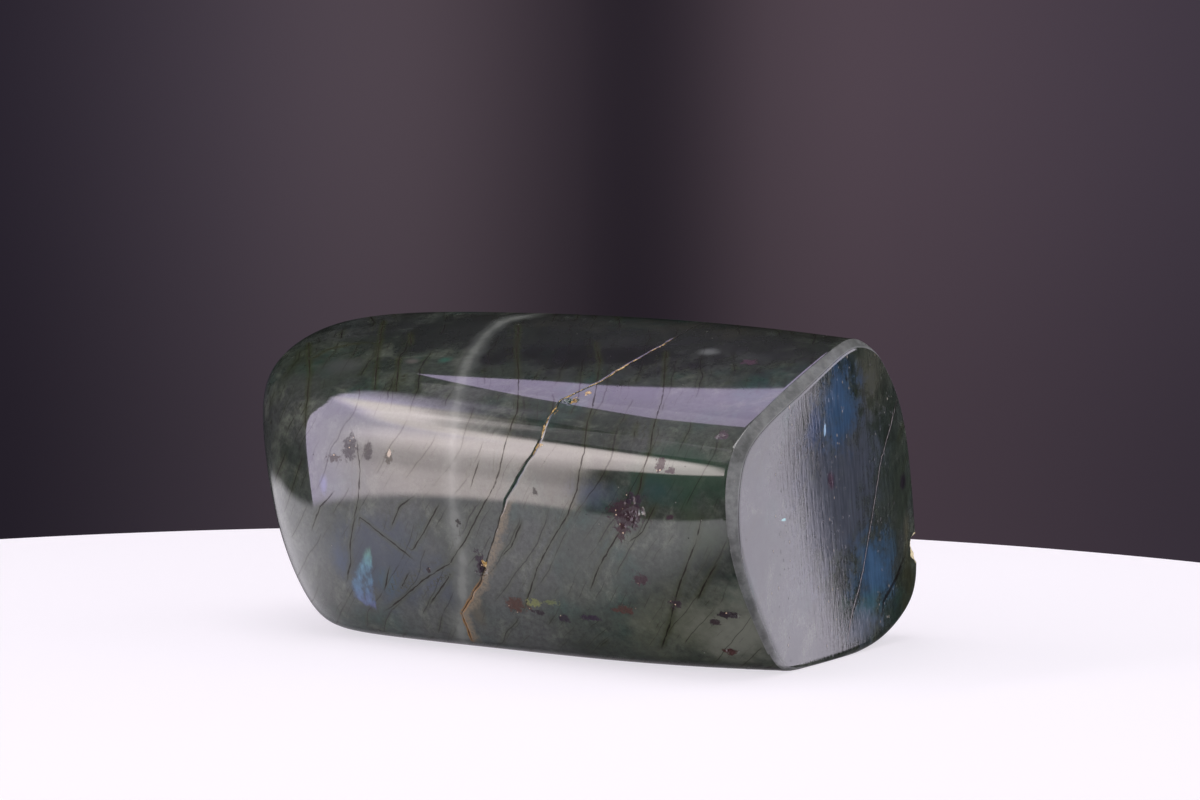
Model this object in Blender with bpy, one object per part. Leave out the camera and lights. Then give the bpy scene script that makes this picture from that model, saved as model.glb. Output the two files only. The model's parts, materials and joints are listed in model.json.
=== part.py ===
"""A hand-polished labradorite freeform, about 90 mm long, that rests on its flat base.

The stone is one solid. Its form is a set of flat grinds, softened into one another by polishing.
One end is sawn flat, and its edge is left crisp, with a narrow bevel over the top and down the front.
+X runs along the stone to the sawn end, +Y to its back and +Z up. The origin is at the middle of
the bottom. Lengths are in millimetres until the mesh is finished.
"""

import math

import bmesh
import bpy
from mathutils import Matrix, Vector, noise

MM = 0.001

# Every grind is a plane at a distance from the stone's heart.
HEART = Vector((-0.9, -1.1, 22.15))

# Turn about Z (0 is +X, 90 the back), tilt above the horizon, distance from the heart in mm,
# and how softly it runs into the grinds beside it, in mm.
GRINDS = {
    "base": (0, -90, 22.5, 1.2),
    "front": (-95, -3, 21.9, 2.7),
    "front_shoulder": (-94.5, 22.5, 27.4, 5.4),
    "front_top": (-87, 70, 18.4, 2.7),
    "front_low": (-72, -37.5, 33.2, 1.6),
    "belly": (-94, -34.5, 26.0, 2.7),
    "ridge": (74, 50, 32.5, 1.9),
    "back_high": (93, 33, 27.5, 3.3),
    "back": (90, 9, 25.3, 3.0),
    "back_low": (90, -65, 27.0, 2.0),
    "left": (182.5, -8.5, 43.1, 3.0),
    "left_low": (184, -35.5, 38.8, 2.7),
    "left_high": (173, 63, 42.6, 4.4),
    "left_front": (-132, -4.5, 36.6, 3.7),
    "left_back": (135, -6, 42.7, 5.0),
}

# Polishing by hand leaves each grind slightly wavy. The base stays flat.
WAVE_HEIGHT = 0.12
WAVE_LENGTH = 17.0

# The sawn end, and the shape of its edge: the angle round the end (0 is the back, 90 the top,
# 180 the front, 270 the bottom), the width of the edge, and 0 for a flat bevel or 1 for a round one.
END_TURN = -2.5
END_DISTANCE = 44.9
EDGE_DEPTH = 2.6
EDGE = (
    (0, 0.35, 1.0),
    (45, 0.40, 1.0),
    (62, 1.20, 0.0),
    (120, 1.30, 0.0),
    (165, 1.40, 0.0),
    (200, 1.00, 0.7),
    (250, 0.90, 1.0),
    (300, 0.70, 1.0),
    (360, 0.35, 1.0),
)
EDGE_LOOPS = 3

# The block that the stone is ground from: how far it reaches to the left of the heart, its
# half-width and half-height, where the spine that its skin is measured out from starts, and its
# slices along, across and up, which lie closer together near its corners.
BLOCK_LEFT = 44.0
BLOCK_HALF = (25.0, 22.0)
SPINE_START = -20.0
SLICES = (26, 16, 16)
SLICE_EASE = 0.45
REACH = 90.0
PRECISION = 1e-5

# A chip broken from the back edge of the sawn end: its place, half-sizes and roughness.
CHIP_PLACE = Vector((45.6, 25.0, 12.7))
CHIP_HALF = (1.9, 1.5, 2.2)
CHIP_ROUGHNESS = 0.22
CHIP_GRAIN = 0.6

# Open pits: place on the skin, half-width and half-height, and depth.
PITS = (
    ((2.7, -21.6, 12.9), (0.8, 1.3), 0.6),
    ((27.8, -25.0, 22.1), (1.1, 0.9), 0.4),
    ((40.2, -20.0, 9.0), (1.3, 0.6), 0.5),
    ((38.6, -17.1, 3.3), (0.9, 0.7), 0.5),
    ((13.0, -16.6, 35.7), (0.9, 0.6), 0.4),
    ((-28.0, 22.6, 14.0), (1.2, 0.9), 0.5),
    ((6.0, 25.6, 20.0), (1.0, 1.3), 0.5),
)
BALL_DETAIL = 2

STONE_COLOUR = (0.045, 0.052, 0.045, 1.0)
STONE_ROUGHNESS = 0.12
SHARP_ANGLE = 22
FLAT_TOLERANCE = 0.02

AXES = (Vector((1, 0, 0)), Vector((0, 1, 0)), Vector((0, 0, 1)))
TURNED = Matrix.Rotation(math.radians(END_TURN), 3, "Z")
TO_STONE = Matrix.Translation(HEART) @ TURNED.to_4x4()
FROM_STONE = TO_STONE.inverted()


def direction(turn, tilt):
    turn, tilt = math.radians(turn), math.radians(tilt)
    return Vector((math.cos(tilt) * math.cos(turn), math.cos(tilt) * math.sin(turn), math.sin(tilt)))


PLANES = {
    name: (direction(turn, tilt), distance, softness)
    for name, (turn, tilt, distance, softness) in GRINDS.items()
}


def pull_of_grinds(point):
    """How strongly each grind shapes the skin near this point. On the skin they add up to 1."""
    return {
        name: math.exp(((point - HEART).dot(normal) - distance) / softness)
        for name, (normal, distance, softness) in PLANES.items()
    }


def skin_normal(pulls):
    """The skin's outward normal where the grinds pull this strongly."""
    leans = (PLANES[name][0] * pull / PLANES[name][2] for name, pull in pulls.items())
    return sum(leans, Vector()).normalized()


def skin_point(root, way):
    """The point where a line from inside the stone meets its polished skin."""
    near, far = 0.0, REACH
    while far - near > PRECISION:
        middle = (near + far) / 2
        if sum(pull_of_grinds(root + way * middle).values()) < 1:
            near = middle
        else:
            far = middle
    point = root + way * near
    pulls = pull_of_grinds(point)
    wave = WAVE_HEIGHT * noise.noise(point / WAVE_LENGTH) * (1 - pulls["base"])
    return point + skin_normal(pulls) * wave


def eased(station):
    """Moves evenly spaced slices, -1 to 1, closer together near the block's corners."""
    return (1 - SLICE_EASE) * station + SLICE_EASE * math.sin(station * math.pi / 2)


def everything(bm):
    return bm.verts[:] + bm.edges[:] + bm.faces[:]


def sliced_block():
    """A block from -1 to 1 each way, sliced along its three axes and open at its +X end."""
    bm = bmesh.new()
    bmesh.ops.create_cube(bm, size=2)
    for axis, slices in zip(AXES, SLICES):
        for k in range(1, slices):
            station = axis * eased(2 * k / slices - 1)
            bmesh.ops.bisect_plane(bm, geom=everything(bm), plane_co=station, plane_no=axis)
    end = [face for face in bm.faces if all(vert.co.x == 1 for vert in face.verts)]
    bmesh.ops.delete(bm, geom=end, context="FACES")
    return bm


def grind(bm):
    """Moves every corner of the block along its line from the spine until it lies on the skin."""
    length = BLOCK_LEFT + END_DISTANCE - EDGE_DEPTH
    for vert in bm.verts:
        along = (vert.co.x + 1) / 2 * length - BLOCK_LEFT
        corner = Vector((along, vert.co.y * BLOCK_HALF[0], vert.co.z * BLOCK_HALF[1]))
        root = Vector((max(along, SPINE_START), 0, 0))
        vert.co = skin_point(TO_STONE @ root, (TURNED @ (corner - root)).normalized())


def edge_shape(angle):
    """Width and roundness of the sawn end's edge at this angle, in degrees."""
    for (start, width, roundness), (stop, next_width, next_roundness) in zip(EDGE, EDGE[1:]):
        if start <= angle <= stop:
            break
    share = (1 - math.cos(math.pi * (angle - start) / (stop - start))) / 2
    return width + (next_width - width) * share, roundness + (next_roundness - roundness) * share


def edge_point(way, share):
    """A point of the sawn end's edge: share is 0 on the skin and 1 on the flat of the end."""
    width, roundness = edge_shape(math.degrees(math.atan2(way.z, way.y)) % 360)
    turn = share * math.pi / 2
    depth = width * (1 - share + (share - math.sin(turn)) * roundness)
    inset = width * (share + (1 - math.cos(turn) - share) * roundness)
    root = TO_STONE @ Vector((END_DISTANCE - depth, 0, 0))
    skin = FROM_STONE @ skin_point(root, TURNED @ way)
    across = Vector((0, skin.y, skin.z))
    return TO_STONE @ (Vector((END_DISTANCE - depth, 0, 0)) + way * (across.length - inset))


def saw_end(bm):
    """Runs the open end out to the saw cut in loops that shape its edge, and closes it flat."""
    rim = [edge for edge in bm.edges if edge.is_boundary]
    for loop in range(EDGE_LOOPS):
        made = bmesh.ops.extrude_edge_only(bm, edges=rim)["geom"]
        rim = [item for item in made if isinstance(item, bmesh.types.BMEdge) and item.is_boundary]
        for vert in {vert for edge in rim for vert in edge.verts}:
            place = FROM_STONE @ vert.co
            way = Vector((0, place.y, place.z)).normalized()
            vert.co = edge_point(way, loop / (EDGE_LOOPS - 1))
    bmesh.ops.contextual_create(bm, geom=rim)


def flatten_base(bm):
    """Grinds the bottom flat at z = 0, which gives the stone its footprint."""
    below = Vector((0, 0, -1))
    cut = bmesh.ops.bisect_plane(
        bm, geom=everything(bm), dist=FLAT_TOLERANCE, plane_co=(0, 0, 0), plane_no=below, clear_outer=True
    )
    foot = [item for item in cut["geom_cut"] if isinstance(item, bmesh.types.BMEdge)]
    for vert in {vert for edge in foot for vert in edge.verts}:
        vert.co.z = 0
    bmesh.ops.contextual_create(bm, geom=foot)


def polished_material():
    material = bpy.data.materials.new("polished_labradorite")
    material.use_nodes = True
    shader = material.node_tree.nodes["Principled BSDF"]
    shader.inputs["Base Color"].default_value = STONE_COLOUR
    shader.inputs["Roughness"].default_value = STONE_ROUGHNESS
    shader.inputs["Metallic"].default_value = 0.0
    return material


def make_object(name, bm, collection):
    """Closes the mesh's making: faces outward, metres, smooth except at sharp edges."""
    bm.normal_update()
    bmesh.ops.recalc_face_normals(bm, faces=bm.faces)
    bmesh.ops.scale(bm, vec=(MM, MM, MM), verts=bm.verts)
    mesh = bpy.data.meshes.new(name)
    bm.to_mesh(mesh)
    bm.free()
    mesh.shade_smooth()
    mesh.set_sharp_from_angle(angle=math.radians(SHARP_ANGLE))
    thing = bpy.data.objects.new(name, mesh)
    collection.objects.link(thing)
    return thing


def ball_cutter(name, collection, place, half_axes, roughness=0.0):
    """A ball stretched along three axes, which are given as vectors of half its size."""
    bm = bmesh.new()
    bmesh.ops.create_icosphere(bm, subdivisions=BALL_DETAIL, radius=1)
    for vert in bm.verts:
        bulge = 1 + roughness * noise.noise(vert.co / CHIP_GRAIN + place)
        vert.co = place + sum((axis * size for axis, size in zip(half_axes, vert.co)), Vector()) * bulge
    cutter = make_object(name, bm, collection)
    cutter.hide_render = True
    cutter.display_type = "WIRE"
    return cutter


def chip_cutter(collection):
    half_axes = [TURNED @ axis * half for axis, half in zip(AXES, CHIP_HALF)]
    return ball_cutter("chip", collection, CHIP_PLACE, half_axes, CHIP_ROUGHNESS)


def pit_cutter(name, collection, place, half, depth):
    """A shallow ball that opens on the skin nearest this place."""
    root = Vector((place[0], HEART.y, HEART.z))
    skin = skin_point(root, (Vector(place) - root).normalized())
    out = skin_normal(pull_of_grinds(skin))
    across = AXES[2].cross(out).normalized()
    up = out.cross(across)
    return ball_cutter(name, collection, skin, (across * half[0], up * half[1], out * depth))


def cut(stone, cutter):
    modifier = stone.modifiers.new(cutter.name, "BOOLEAN")
    modifier.operation = "DIFFERENCE"
    modifier.solver = "EXACT"
    modifier.object = cutter


def clear_scene():
    for thing in list(bpy.data.objects):
        bpy.data.objects.remove(thing, do_unlink=True)


def new_collection(name, hidden=False):
    collection = bpy.data.collections.new(name)
    bpy.context.scene.collection.children.link(collection)
    collection.hide_render = hidden
    return collection


def main():
    clear_scene()
    parts = new_collection("polished_labradorite")
    cutters = new_collection("cutters", hidden=True)
    bm = sliced_block()
    grind(bm)
    saw_end(bm)
    flatten_base(bm)
    stone = make_object("labradorite", bm, parts)
    stone.data.materials.append(polished_material())
    cut(stone, chip_cutter(cutters))
    for number, (place, half, depth) in enumerate(PITS, 1):
        cut(stone, pit_cutter(f"pit_{number}", cutters, place, half, depth))


main()
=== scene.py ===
import json
import math

import bmesh
import bpy
import numpy as np
from mathutils import Matrix, Vector, noise

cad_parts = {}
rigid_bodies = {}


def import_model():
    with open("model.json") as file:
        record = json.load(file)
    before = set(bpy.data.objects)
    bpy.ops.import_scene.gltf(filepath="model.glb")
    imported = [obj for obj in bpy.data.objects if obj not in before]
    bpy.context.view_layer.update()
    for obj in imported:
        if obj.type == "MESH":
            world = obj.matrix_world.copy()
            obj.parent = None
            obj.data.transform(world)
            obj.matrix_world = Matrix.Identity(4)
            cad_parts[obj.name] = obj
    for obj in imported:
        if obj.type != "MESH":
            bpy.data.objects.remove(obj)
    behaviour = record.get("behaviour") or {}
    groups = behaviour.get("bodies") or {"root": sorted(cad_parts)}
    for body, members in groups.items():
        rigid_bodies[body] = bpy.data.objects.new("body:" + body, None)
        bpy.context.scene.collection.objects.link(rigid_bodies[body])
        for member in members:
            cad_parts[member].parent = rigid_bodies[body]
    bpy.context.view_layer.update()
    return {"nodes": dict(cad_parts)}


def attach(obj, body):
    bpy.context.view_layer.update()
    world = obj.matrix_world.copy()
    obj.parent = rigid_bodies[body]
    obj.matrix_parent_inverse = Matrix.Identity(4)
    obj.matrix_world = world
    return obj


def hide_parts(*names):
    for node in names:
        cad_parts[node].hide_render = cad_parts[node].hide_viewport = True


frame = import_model()
print("frame loaded:", ", ".join(frame["nodes"]))

mm = 0.001  # the lengths below are in millimetres, the finished meshes in metres
stoneIndex = 1.56  # how strongly the polished stone bends light
finish = {"polished": 0, "sawn": 1, "broken": 2}  # the order of the stone's materials


def selectNothing():
    for thing in bpy.context.view_layer.objects:
        thing.select_set(False)


def makeActive(thing):
    selectNothing()
    thing.select_set(True)
    bpy.context.view_layer.objects.active = thing


def applyModifiers(thing):
    makeActive(thing)
    for modifier in list(thing.modifiers):
        bpy.ops.object.modifier_apply(modifier=modifier.name)


def readPlaces(thing):
    places = np.empty(len(thing.data.vertices) * 3)
    thing.data.vertices.foreach_get("co", places)
    return places.reshape(-1, 3)


def writePlaces(thing, places):
    thing.data.vertices.foreach_set("co", np.ascontiguousarray(places).ravel())
    thing.data.update()


def smoothStep(low, high, value):
    share = np.clip((value - low) / (high - low), 0, 1)
    return share * share * (3 - 2 * share)


# Every grind is a flat: turn about Z (0 is +X, 90 the back), tilt above the horizon,
# distance from the heart, and how softly it runs into the flats beside it. A separate program fitted
# most of these numbers, and they were rounded.
grinds = {
    "base": (0, -90, 22.5, 1.2),
    "front": (-95, -3, 21.9, 2.7),
    "frontShoulder": (-94.5, 22.5, 27.4, 5.4),
    "frontTop": (-87, 70, 18.4, 2.7),
    "frontLow": (-72, -37.5, 33.2, 1.6),
    "belly": (-94, -34.5, 26.0, 2.7),
    "ridge": (74, 50, 32.5, 1.9),
    "backHigh": (93, 33, 27.5, 3.3),
    "back": (90, 9, 25.3, 3.0),
    "backLow": (90, -65, 27.0, 2.0),
    "left": (182.5, -8.5, 43.1, 3.0),
    "leftLow": (184, -35.5, 38.8, 2.7),
    "leftHigh": (173, 63, 42.6, 4.4),
    "leftFront": (-132, -4.5, 36.6, 3.7),
    "leftBack": (135, -6, 42.7, 5.0),
}

stoneForm = {
    "heart": (-0.9, -1.1, 22.15),  # where the grinds are measured from
    "waveHeight": 0.02,  # polishing by hand leaves each grind slightly wavy
    "waveLength": 17.0,
    "blockLeft": 44.0,  # how far the block reaches to the left of the heart
    "blockHalf": (25.0, 22.0),
    "spineStart": -20.0,
    "crowding": 0.45,  # rows lie closer together near the block's corners
    "reach": 90.0,
    "halvings": 26,  # how often the way to the skin is halved to find it
    "spineStop": 40.0,
    "cuts": ((35, 4), (16, 4), (16, 4)),  # first and second cuts along, across and up
    "foot": 0.02,  # what lies lower than this is flat on the base
}

# The sawn end and its edge: the angle round the end (0 the back, 90 the top, 180 the front,
# 270 the bottom), the width of the edge, and 0 for a flat bevel or 1 for a round one.
sawnEnd = {
    "turn": -2.5,
    "distance": 44.9,
    "depth": 2.6,
    "rows": 10,  # rows of the mesh that the edge takes
    "skinRows": 3,  # of which these still lie on the skin
    "marksDepth": 1.5,  # how far in from the flat its marks and its finish reach
    "leastLean": 0.35,  # faces that point this far along the end's way have its finish
    "edge": (
        (0, 0.35, 1.0),
        (45, 0.40, 1.0),
        (62, 1.20, 0.0),
        (120, 1.30, 0.0),
        (165, 1.40, 0.0),
        (200, 1.00, 0.7),
        (250, 0.90, 1.0),
        (300, 0.70, 1.0),
        (360, 0.35, 1.0),
    ),
}

heart = np.array(stoneForm["heart"])
turned = np.array(Matrix.Rotation(math.radians(sawnEnd["turn"]), 3, "Z"))


def direction(turn, tilt):
    turn, tilt = math.radians(turn), math.radians(tilt)
    return (math.cos(tilt) * math.cos(turn), math.cos(tilt) * math.sin(turn), math.sin(tilt))


grindNormals = np.array([direction(turn, tilt) for turn, tilt, _, _ in grinds.values()])
grindDistances = np.array([distance for _, _, distance, _ in grinds.values()])
grindSoftness = np.array([softness for _, _, _, softness in grinds.values()])


def toStone(local):  # from the sawn end's own axes, with the heart at zero
    return local @ turned.T + heart


def fromStone(places):
    return (places - heart) @ turned


def pullOfGrinds(places):  # on the skin the pulls add up to 1
    return np.exp(((places - heart) @ grindNormals.T - grindDistances) / grindSoftness)


def skinNormals(places):
    leans = (pullOfGrinds(places) / grindSoftness) @ grindNormals
    return leans / np.linalg.norm(leans, axis=1)[:, None]


def castToSkin(roots, ways):
    near = np.zeros(len(roots))
    far = np.full(len(roots), stoneForm["reach"])
    for _ in range(stoneForm["halvings"]):
        middle = (near + far) / 2
        inside = pullOfGrinds(roots + ways * middle[:, None]).sum(1) < 1
        near = np.where(inside, middle, near)
        far = np.where(inside, far, middle)
    skin = roots + ways * near[:, None]
    basePull = pullOfGrinds(skin)[:, 0]
    length = stoneForm["waveLength"]
    wave = np.array([noise.noise(Vector(place) / length) for place in skin])
    wave *= stoneForm["waveHeight"] * (1 - basePull)
    return skin + skinNormals(skin) * wave[:, None]


def crowded(stations):
    ease = stoneForm["crowding"]
    return (1 - ease) * stations + ease * np.sin(stations * math.pi / 2)


def edgeShape(angles):  # width and roundness at these angles, eased between the given ones
    widths = np.zeros(len(angles))
    roundness = np.zeros(len(angles))
    for (start, width, round_), (stop, nextWidth, nextRound) in zip(sawnEnd["edge"], sawnEnd["edge"][1:]):
        here = (angles >= start) & (angles <= stop)
        share = (1 - np.cos(math.pi * (angles[here] - start) / (stop - start))) / 2
        widths[here] = width + (nextWidth - width) * share
        roundness[here] = round_ + (nextRound - round_) * share
    return widths, roundness


def shapeEdge(ways, stations):  # stations run from -1 on the skin over 0 to 1 on the flat
    widths, roundness = edgeShape(np.degrees(np.arctan2(ways[:, 2], ways[:, 1])) % 360)
    share = np.clip(stations, 0, 1)
    turn = share * math.pi / 2
    depths = widths * (1 - share + (share - np.sin(turn)) * roundness)
    depths += (sawnEnd["depth"] - widths) * np.clip(-stations, 0, 1)
    insets = widths * (share + (1 - np.cos(turn) - share) * roundness)
    roots = np.zeros_like(ways)
    roots[:, 0] = sawnEnd["distance"] - depths
    skin = fromStone(castToSkin(toStone(roots), ways @ turned.T))
    radius = np.hypot(skin[:, 1], skin[:, 2]) - insets
    return roots + ways * radius[:, None]


def shapeBlock(block):  # moves places of the block, -1 to 1 each way, onto the stone
    rows = np.prod([cuts + 1 for cuts in stoneForm["cuts"][0]])
    bodyRows = rows - sawnEnd["rows"]
    row = (block[:, 0] + 1) / 2 * rows
    halfAcross, halfUp = stoneForm["blockHalf"]
    length = stoneForm["blockLeft"] + sawnEnd["distance"] - sawnEnd["depth"]
    along = (crowded(2 * np.minimum(row / bodyRows, 1) - 1) + 1) / 2 * length - stoneForm["blockLeft"]
    across = crowded(block[:, 1]) * halfAcross
    up = crowded(block[:, 2]) * halfUp
    corners = np.stack([along, across, up], 1)
    roots = np.zeros_like(corners)
    roots[:, 0] = np.maximum(along, stoneForm["spineStart"])

    cap = block[:, 0] > 1 - 1e-6
    ring = np.where(cap, np.maximum(abs(block[:, 1]), abs(block[:, 2])), 1.0)
    outward = np.where(ring > 1e-6, ring, 1.0)[:, None]
    rim = block / outward
    rimAcross = crowded(rim[:, 1]) * halfAcross
    rimWays = np.stack([np.zeros(len(block)), rimAcross, crowded(rim[:, 2]) * halfUp], 1)
    rimWays[ring <= 1e-6] = (0, 0, 1)
    ways = np.where((row > bodyRows)[:, None], rimWays, corners - roots)
    ways /= np.linalg.norm(ways, axis=1)[:, None]

    places = np.empty_like(corners)
    body = row <= bodyRows
    places[body] = castToSkin(toStone(roots[body]), ways[body] @ turned.T)
    skinRows = sawnEnd["skinRows"]
    edge = ~body
    past = row[edge] - bodyRows
    flatStations = (past - skinRows) / (sawnEnd["rows"] - skinRows)
    stations = np.where(past < skinRows, past / skinRows - 1, flatStations)
    local = shapeEdge(ways[edge], stations)
    local[:, 1:] *= ring[edge][:, None]
    places[edge] = toStone(local)
    places[:, 2] = np.where(places[:, 2] < stoneForm["foot"], 0, places[:, 2])
    return places


# Marks that follow the skin: places along the stone at angles round it (90 the top, 180 the front,
# 270 the bottom, and below 0 the back), and for the sawn end places across it at heights. A separate
# program worked most of them out from given points.
crack = {
    "line": (
        (-70, 29.0), (-30, 26.5), (10, 23.5), (50, 20.5), (80, 18.2), (89, 17.5), (97, 16.7), (108, 15.7),
        (120, 15.0), (131, 13.2), (139, 11.6), (148, 11.7), (158, 11.8), (164, 10.9), (173, 8.8),
        (180, 7.0), (191, 5.3), (201, 3.6), (210, 1.9), (219, -1.2), (222, -2.3), (228, -2.0), (234, -2.4),
    ),
    "wander": 0.22,
    "depth": 0.09,
    "halfWidth": 0.13,
    "open": (60, 240),  # the angles between which it is open enough to feel
    "wanderLength": 1.7,
    "wanderReach": 6,  # it wanders only where the gap to it is smaller
    "opening": (0.35, 0.9, 2.6),  # least share of its depth, how much that varies and over what length
}
vein = {
    "line": (
        (-60, 3.0), (-20, 2.0), (20, -2.5), (60, -7.0), (66, -8.6), (72, -11.0), (85, -10.9), (110, -8.7),
        (133, -5.7), (152, -2.8), (167, -2.3), (182, -2.1), (193, -1.5), (204, -0.7), (218, -1.7),
        (232, -3.7), (242, -5.0), (262, -6.5),
    ),
}
hairlines = {
    "longLeft": (
        (73, -8.4), (81, -6.3), (118, 0.9), (147, 6.3), (155, 6.5), (170, 5.8), (176, 4.8), (185, 2.6),
        (196, -0.1), (205, -3.0), (212, -7.7), (221, -12.7), (226, -15.9),
    ),
    "longMiddle": (
        (84, 7.2), (104, 11.5), (142, 17.1), (161, 19.2), (175, 18.5), (184, 16.9), (194, 14.0),
        (203, 11.6), (211, 10.0), (218, 8.4),
    ),
    "longRight": (
        (89, 19.4), (135, 26.4), (160, 29.3), (173, 28.5), (183, 26.7), (192, 24.0), (199, 21.9),
        (208, 19.9),
    ),
    "right": ((180, 38.2), (189, 37.0), (201, 34.3), (209, 32.6), (218, 30.9), (228, 28.4)),
    "rightEdge": ((195, 39.8), (201, 37.9), (209, 35.7)),
    "rightUpper": ((177, 31.2), (187, 28.9), (191, 26.4)),
    "besideFlash": (
        (161, -19.0), (173, -18.2), (185, -18.6), (194, -19.5), (204, -20.5), (210, -20.6), (218, -21.9),
    ),
    "slanting": ((188, -21.0), (191, -18.9), (196, -15.8), (201, -12.3), (206, -9.0)),
    "farLeft": ((182, -22.8), (190, -25.8), (201, -27.7)),
    "middleHigh": ((181, -8.5), (186, -11.2), (196, -13.1)),
    "middleLow": ((183, -4.2), (194, -6.9), (204, -9.8)),
    "besideVein": ((166, 2.4), (177, 0.9)),
    "besideCrack": ((187, 9.6), (196, 7.7), (201, 5.6)),
    "footLeft": ((209, -13.6), (219, -15.2)),
    "footMiddle": ((210, -10.2), (218, -12.5), (222, -13.7)),
    "footRight": ((206, -2.2), (212, -4.2), (221, -7.6)),
    "shoulderArc": ((96, -26.4), (99, -30.6), (105, -33.6), (117, -34.8)),
    "topLeft": ((95, -39.1), (128, -32.1), (143, -29.8), (157, -28.8)),
    "topMiddle": ((74, -31.0), (96, -26.4), (119, -22.3), (139, -18.7)),
    "topRight": ((85, -23.6), (98, -20.6)),
    "topDash": ((110, -20.3), (140, -14.9)),
    "topShortDash": ((122, -16.8), (139, -14.5)),
    "shoulderLeft": ((148, 25.3), (157, 26.3)),
    "shoulderRight": ((145, 27.3), (160, 30.3)),
}
endCrack = ((1.4, 5.1), (5.2, 6.2), (10.7, 9.4), (18.5, 12.2), (26.1, 14.7), (30.5, 17.4), (34.1, 19.4))
endSeam = ((3.6, 15.2), (4.6, 15.4), (6.3, 15.9), (9.1, 19.5), (12.7, 22.8))
girthRadius = 22.0  # turns an angle round the stone into a length
hairlineFade = (0.9, 1.5)  # a hairline counts fully up to the first gap, and not at all past the second


def gapToLine(line, across, along, stretch):
    stations, values = np.array(line).T
    middle = np.interp(along, stations, values)
    slope = (np.interp(along + 1, stations, values) - np.interp(along - 1, stations, values)) / 2
    gap = (across - middle) / np.sqrt(1 + (slope / stretch) ** 2)
    inside = smoothStep(stations[0] - 1, stations[0] + 3, along)
    inside *= 1 - smoothStep(stations[-1] - 3, stations[-1] + 1, along)
    return gap, inside


def girthOf(places):  # the angle round the stone
    return np.degrees(np.arctan2(places[:, 2] - heart[2], places[:, 1] - heart[1])) % 360


def gapAroundStone(line, places):
    girth = girthOf(places)
    girth = np.where(girth > line[-1][0] + 8, girth - 360, girth)
    return gapToLine(line, places[:, 0], girth, math.radians(girthRadius))


def gapToCrack(places):
    gap, inside = gapAroundStone(crack["line"], places)
    near = np.nonzero((abs(gap) < crack["wanderReach"]) & (inside > 0))[0]
    for index in near:
        gap[index] += crack["wander"] * noise.noise(Vector(places[index]) / crack["wanderLength"])
    return gap, inside


def gapToHairlines(places):  # the nearest hairline, and how near it is
    nearest = np.full(len(places), hairlineFade[1])
    nearness = np.zeros(len(places))
    for line in hairlines.values():
        gap, inside = gapAroundStone(line, places)
        near = inside * (1 - smoothStep(*hairlineFade, abs(gap)))
        closer = near > nearness
        nearest = np.where(closer, gap, nearest)
        nearness = np.where(closer, near, nearness)
    return nearest, nearness


def gapOnEnd(line, places):
    gap, inside = gapToLine(line, places[:, 1], places[:, 2], 1.0)
    return gap, inside * (fromStone(places)[:, 0] > sawnEnd["distance"] - sawnEnd["marksDepth"])


# Open pits: place on the skin, half-width, half-height and depth. A separate program worked out
# some of the places.
pits = {
    "byTheCrack": ((2.5, -21.7, 12.4), (0.7, 1.2), 0.30),
    "inTheCluster": ((27.2, -24.6, 21.4), (1.2, 1.0), 0.22),
    "lowRight": ((39.8, -20.2, 8.7), (1.0, 0.5), 0.25),
    "atTheFoot": ((37.8, -16.6, 3.1), (0.8, 0.5), 0.30),
    "onTheShoulder": ((13.0, -16.6, 35.7), (0.9, 0.6), 0.25),
    "nearTheBevel": ((39.0, -21.6, 32.2), (0.7, 0.5), 0.20),
    "backLeft": ((-28.0, 22.6, 14.0), (1.0, 0.8), 0.30),
    "backMiddle": ((6.0, 25.6, 20.0), (0.8, 1.1), 0.30),
}
pitShape = {
    "reach": 2.5,  # how many half-sizes away the skin is still looked at
    "raggedness": ((0.7, 0.8), (0.35, 0.3)),  # strength and grain of the rim's waver, coarse and fine
    "floor": (0.6, 0.8, 0.35),  # the depth's share, how much it varies and its grain
}


def pitFrames():
    for place, half, depth in pits.values():
        root = np.array([[min(place[0], stoneForm["spineStop"]), heart[1], heart[2]]])
        way = np.array([place]) - root
        skin = castToSkin(root, way / np.linalg.norm(way))
        out = skinNormals(skin)[0]
        across = np.cross((0, 0, 1), out)
        across /= np.linalg.norm(across)
        yield skin[0], across, np.cross(out, across), out, half, depth


def sinkPits(places):
    sunk = places.copy()
    (coarse, coarseGrain), (fine, fineGrain) = pitShape["raggedness"]
    level, varied, grain = pitShape["floor"]
    for middle, across, up, out, half, depth in pitFrames():
        near = np.nonzero(np.linalg.norm(places - middle, axis=1) < pitShape["reach"] * max(half))[0]
        for index in near:
            step = places[index] - middle
            spot = Vector(places[index])
            ragged = 1 + coarse * noise.noise(spot / coarseGrain) + fine * noise.noise(spot / fineGrain)
            rim = math.hypot(step @ across / half[0], step @ up / half[1]) * ragged
            if rim < 1:
                share = (1 - rim * rim) * (level + varied * noise.noise(spot / grain))
                sunk[index] -= out * depth * share
    return sunk


def sinkCrack(places):
    gap, inside = gapToCrack(places)
    near = np.nonzero((abs(gap) < 1) & (inside > 0))[0]
    sunk = places.copy()
    normals = skinNormals(places[near])
    least, varied, length = crack["opening"]
    for index, normal in zip(near, normals):
        spot = Vector(places[index])
        opened = least + varied * max(0, noise.noise(spot / length + Vector((7, 0, 0))))
        width = crack["halfWidth"] * (0.7 + opened)
        share = 1 - min(1, abs(gap[index]) / width)
        sunk[index] -= normal * crack["depth"] * opened * share * inside[index]
    return sunk


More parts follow.
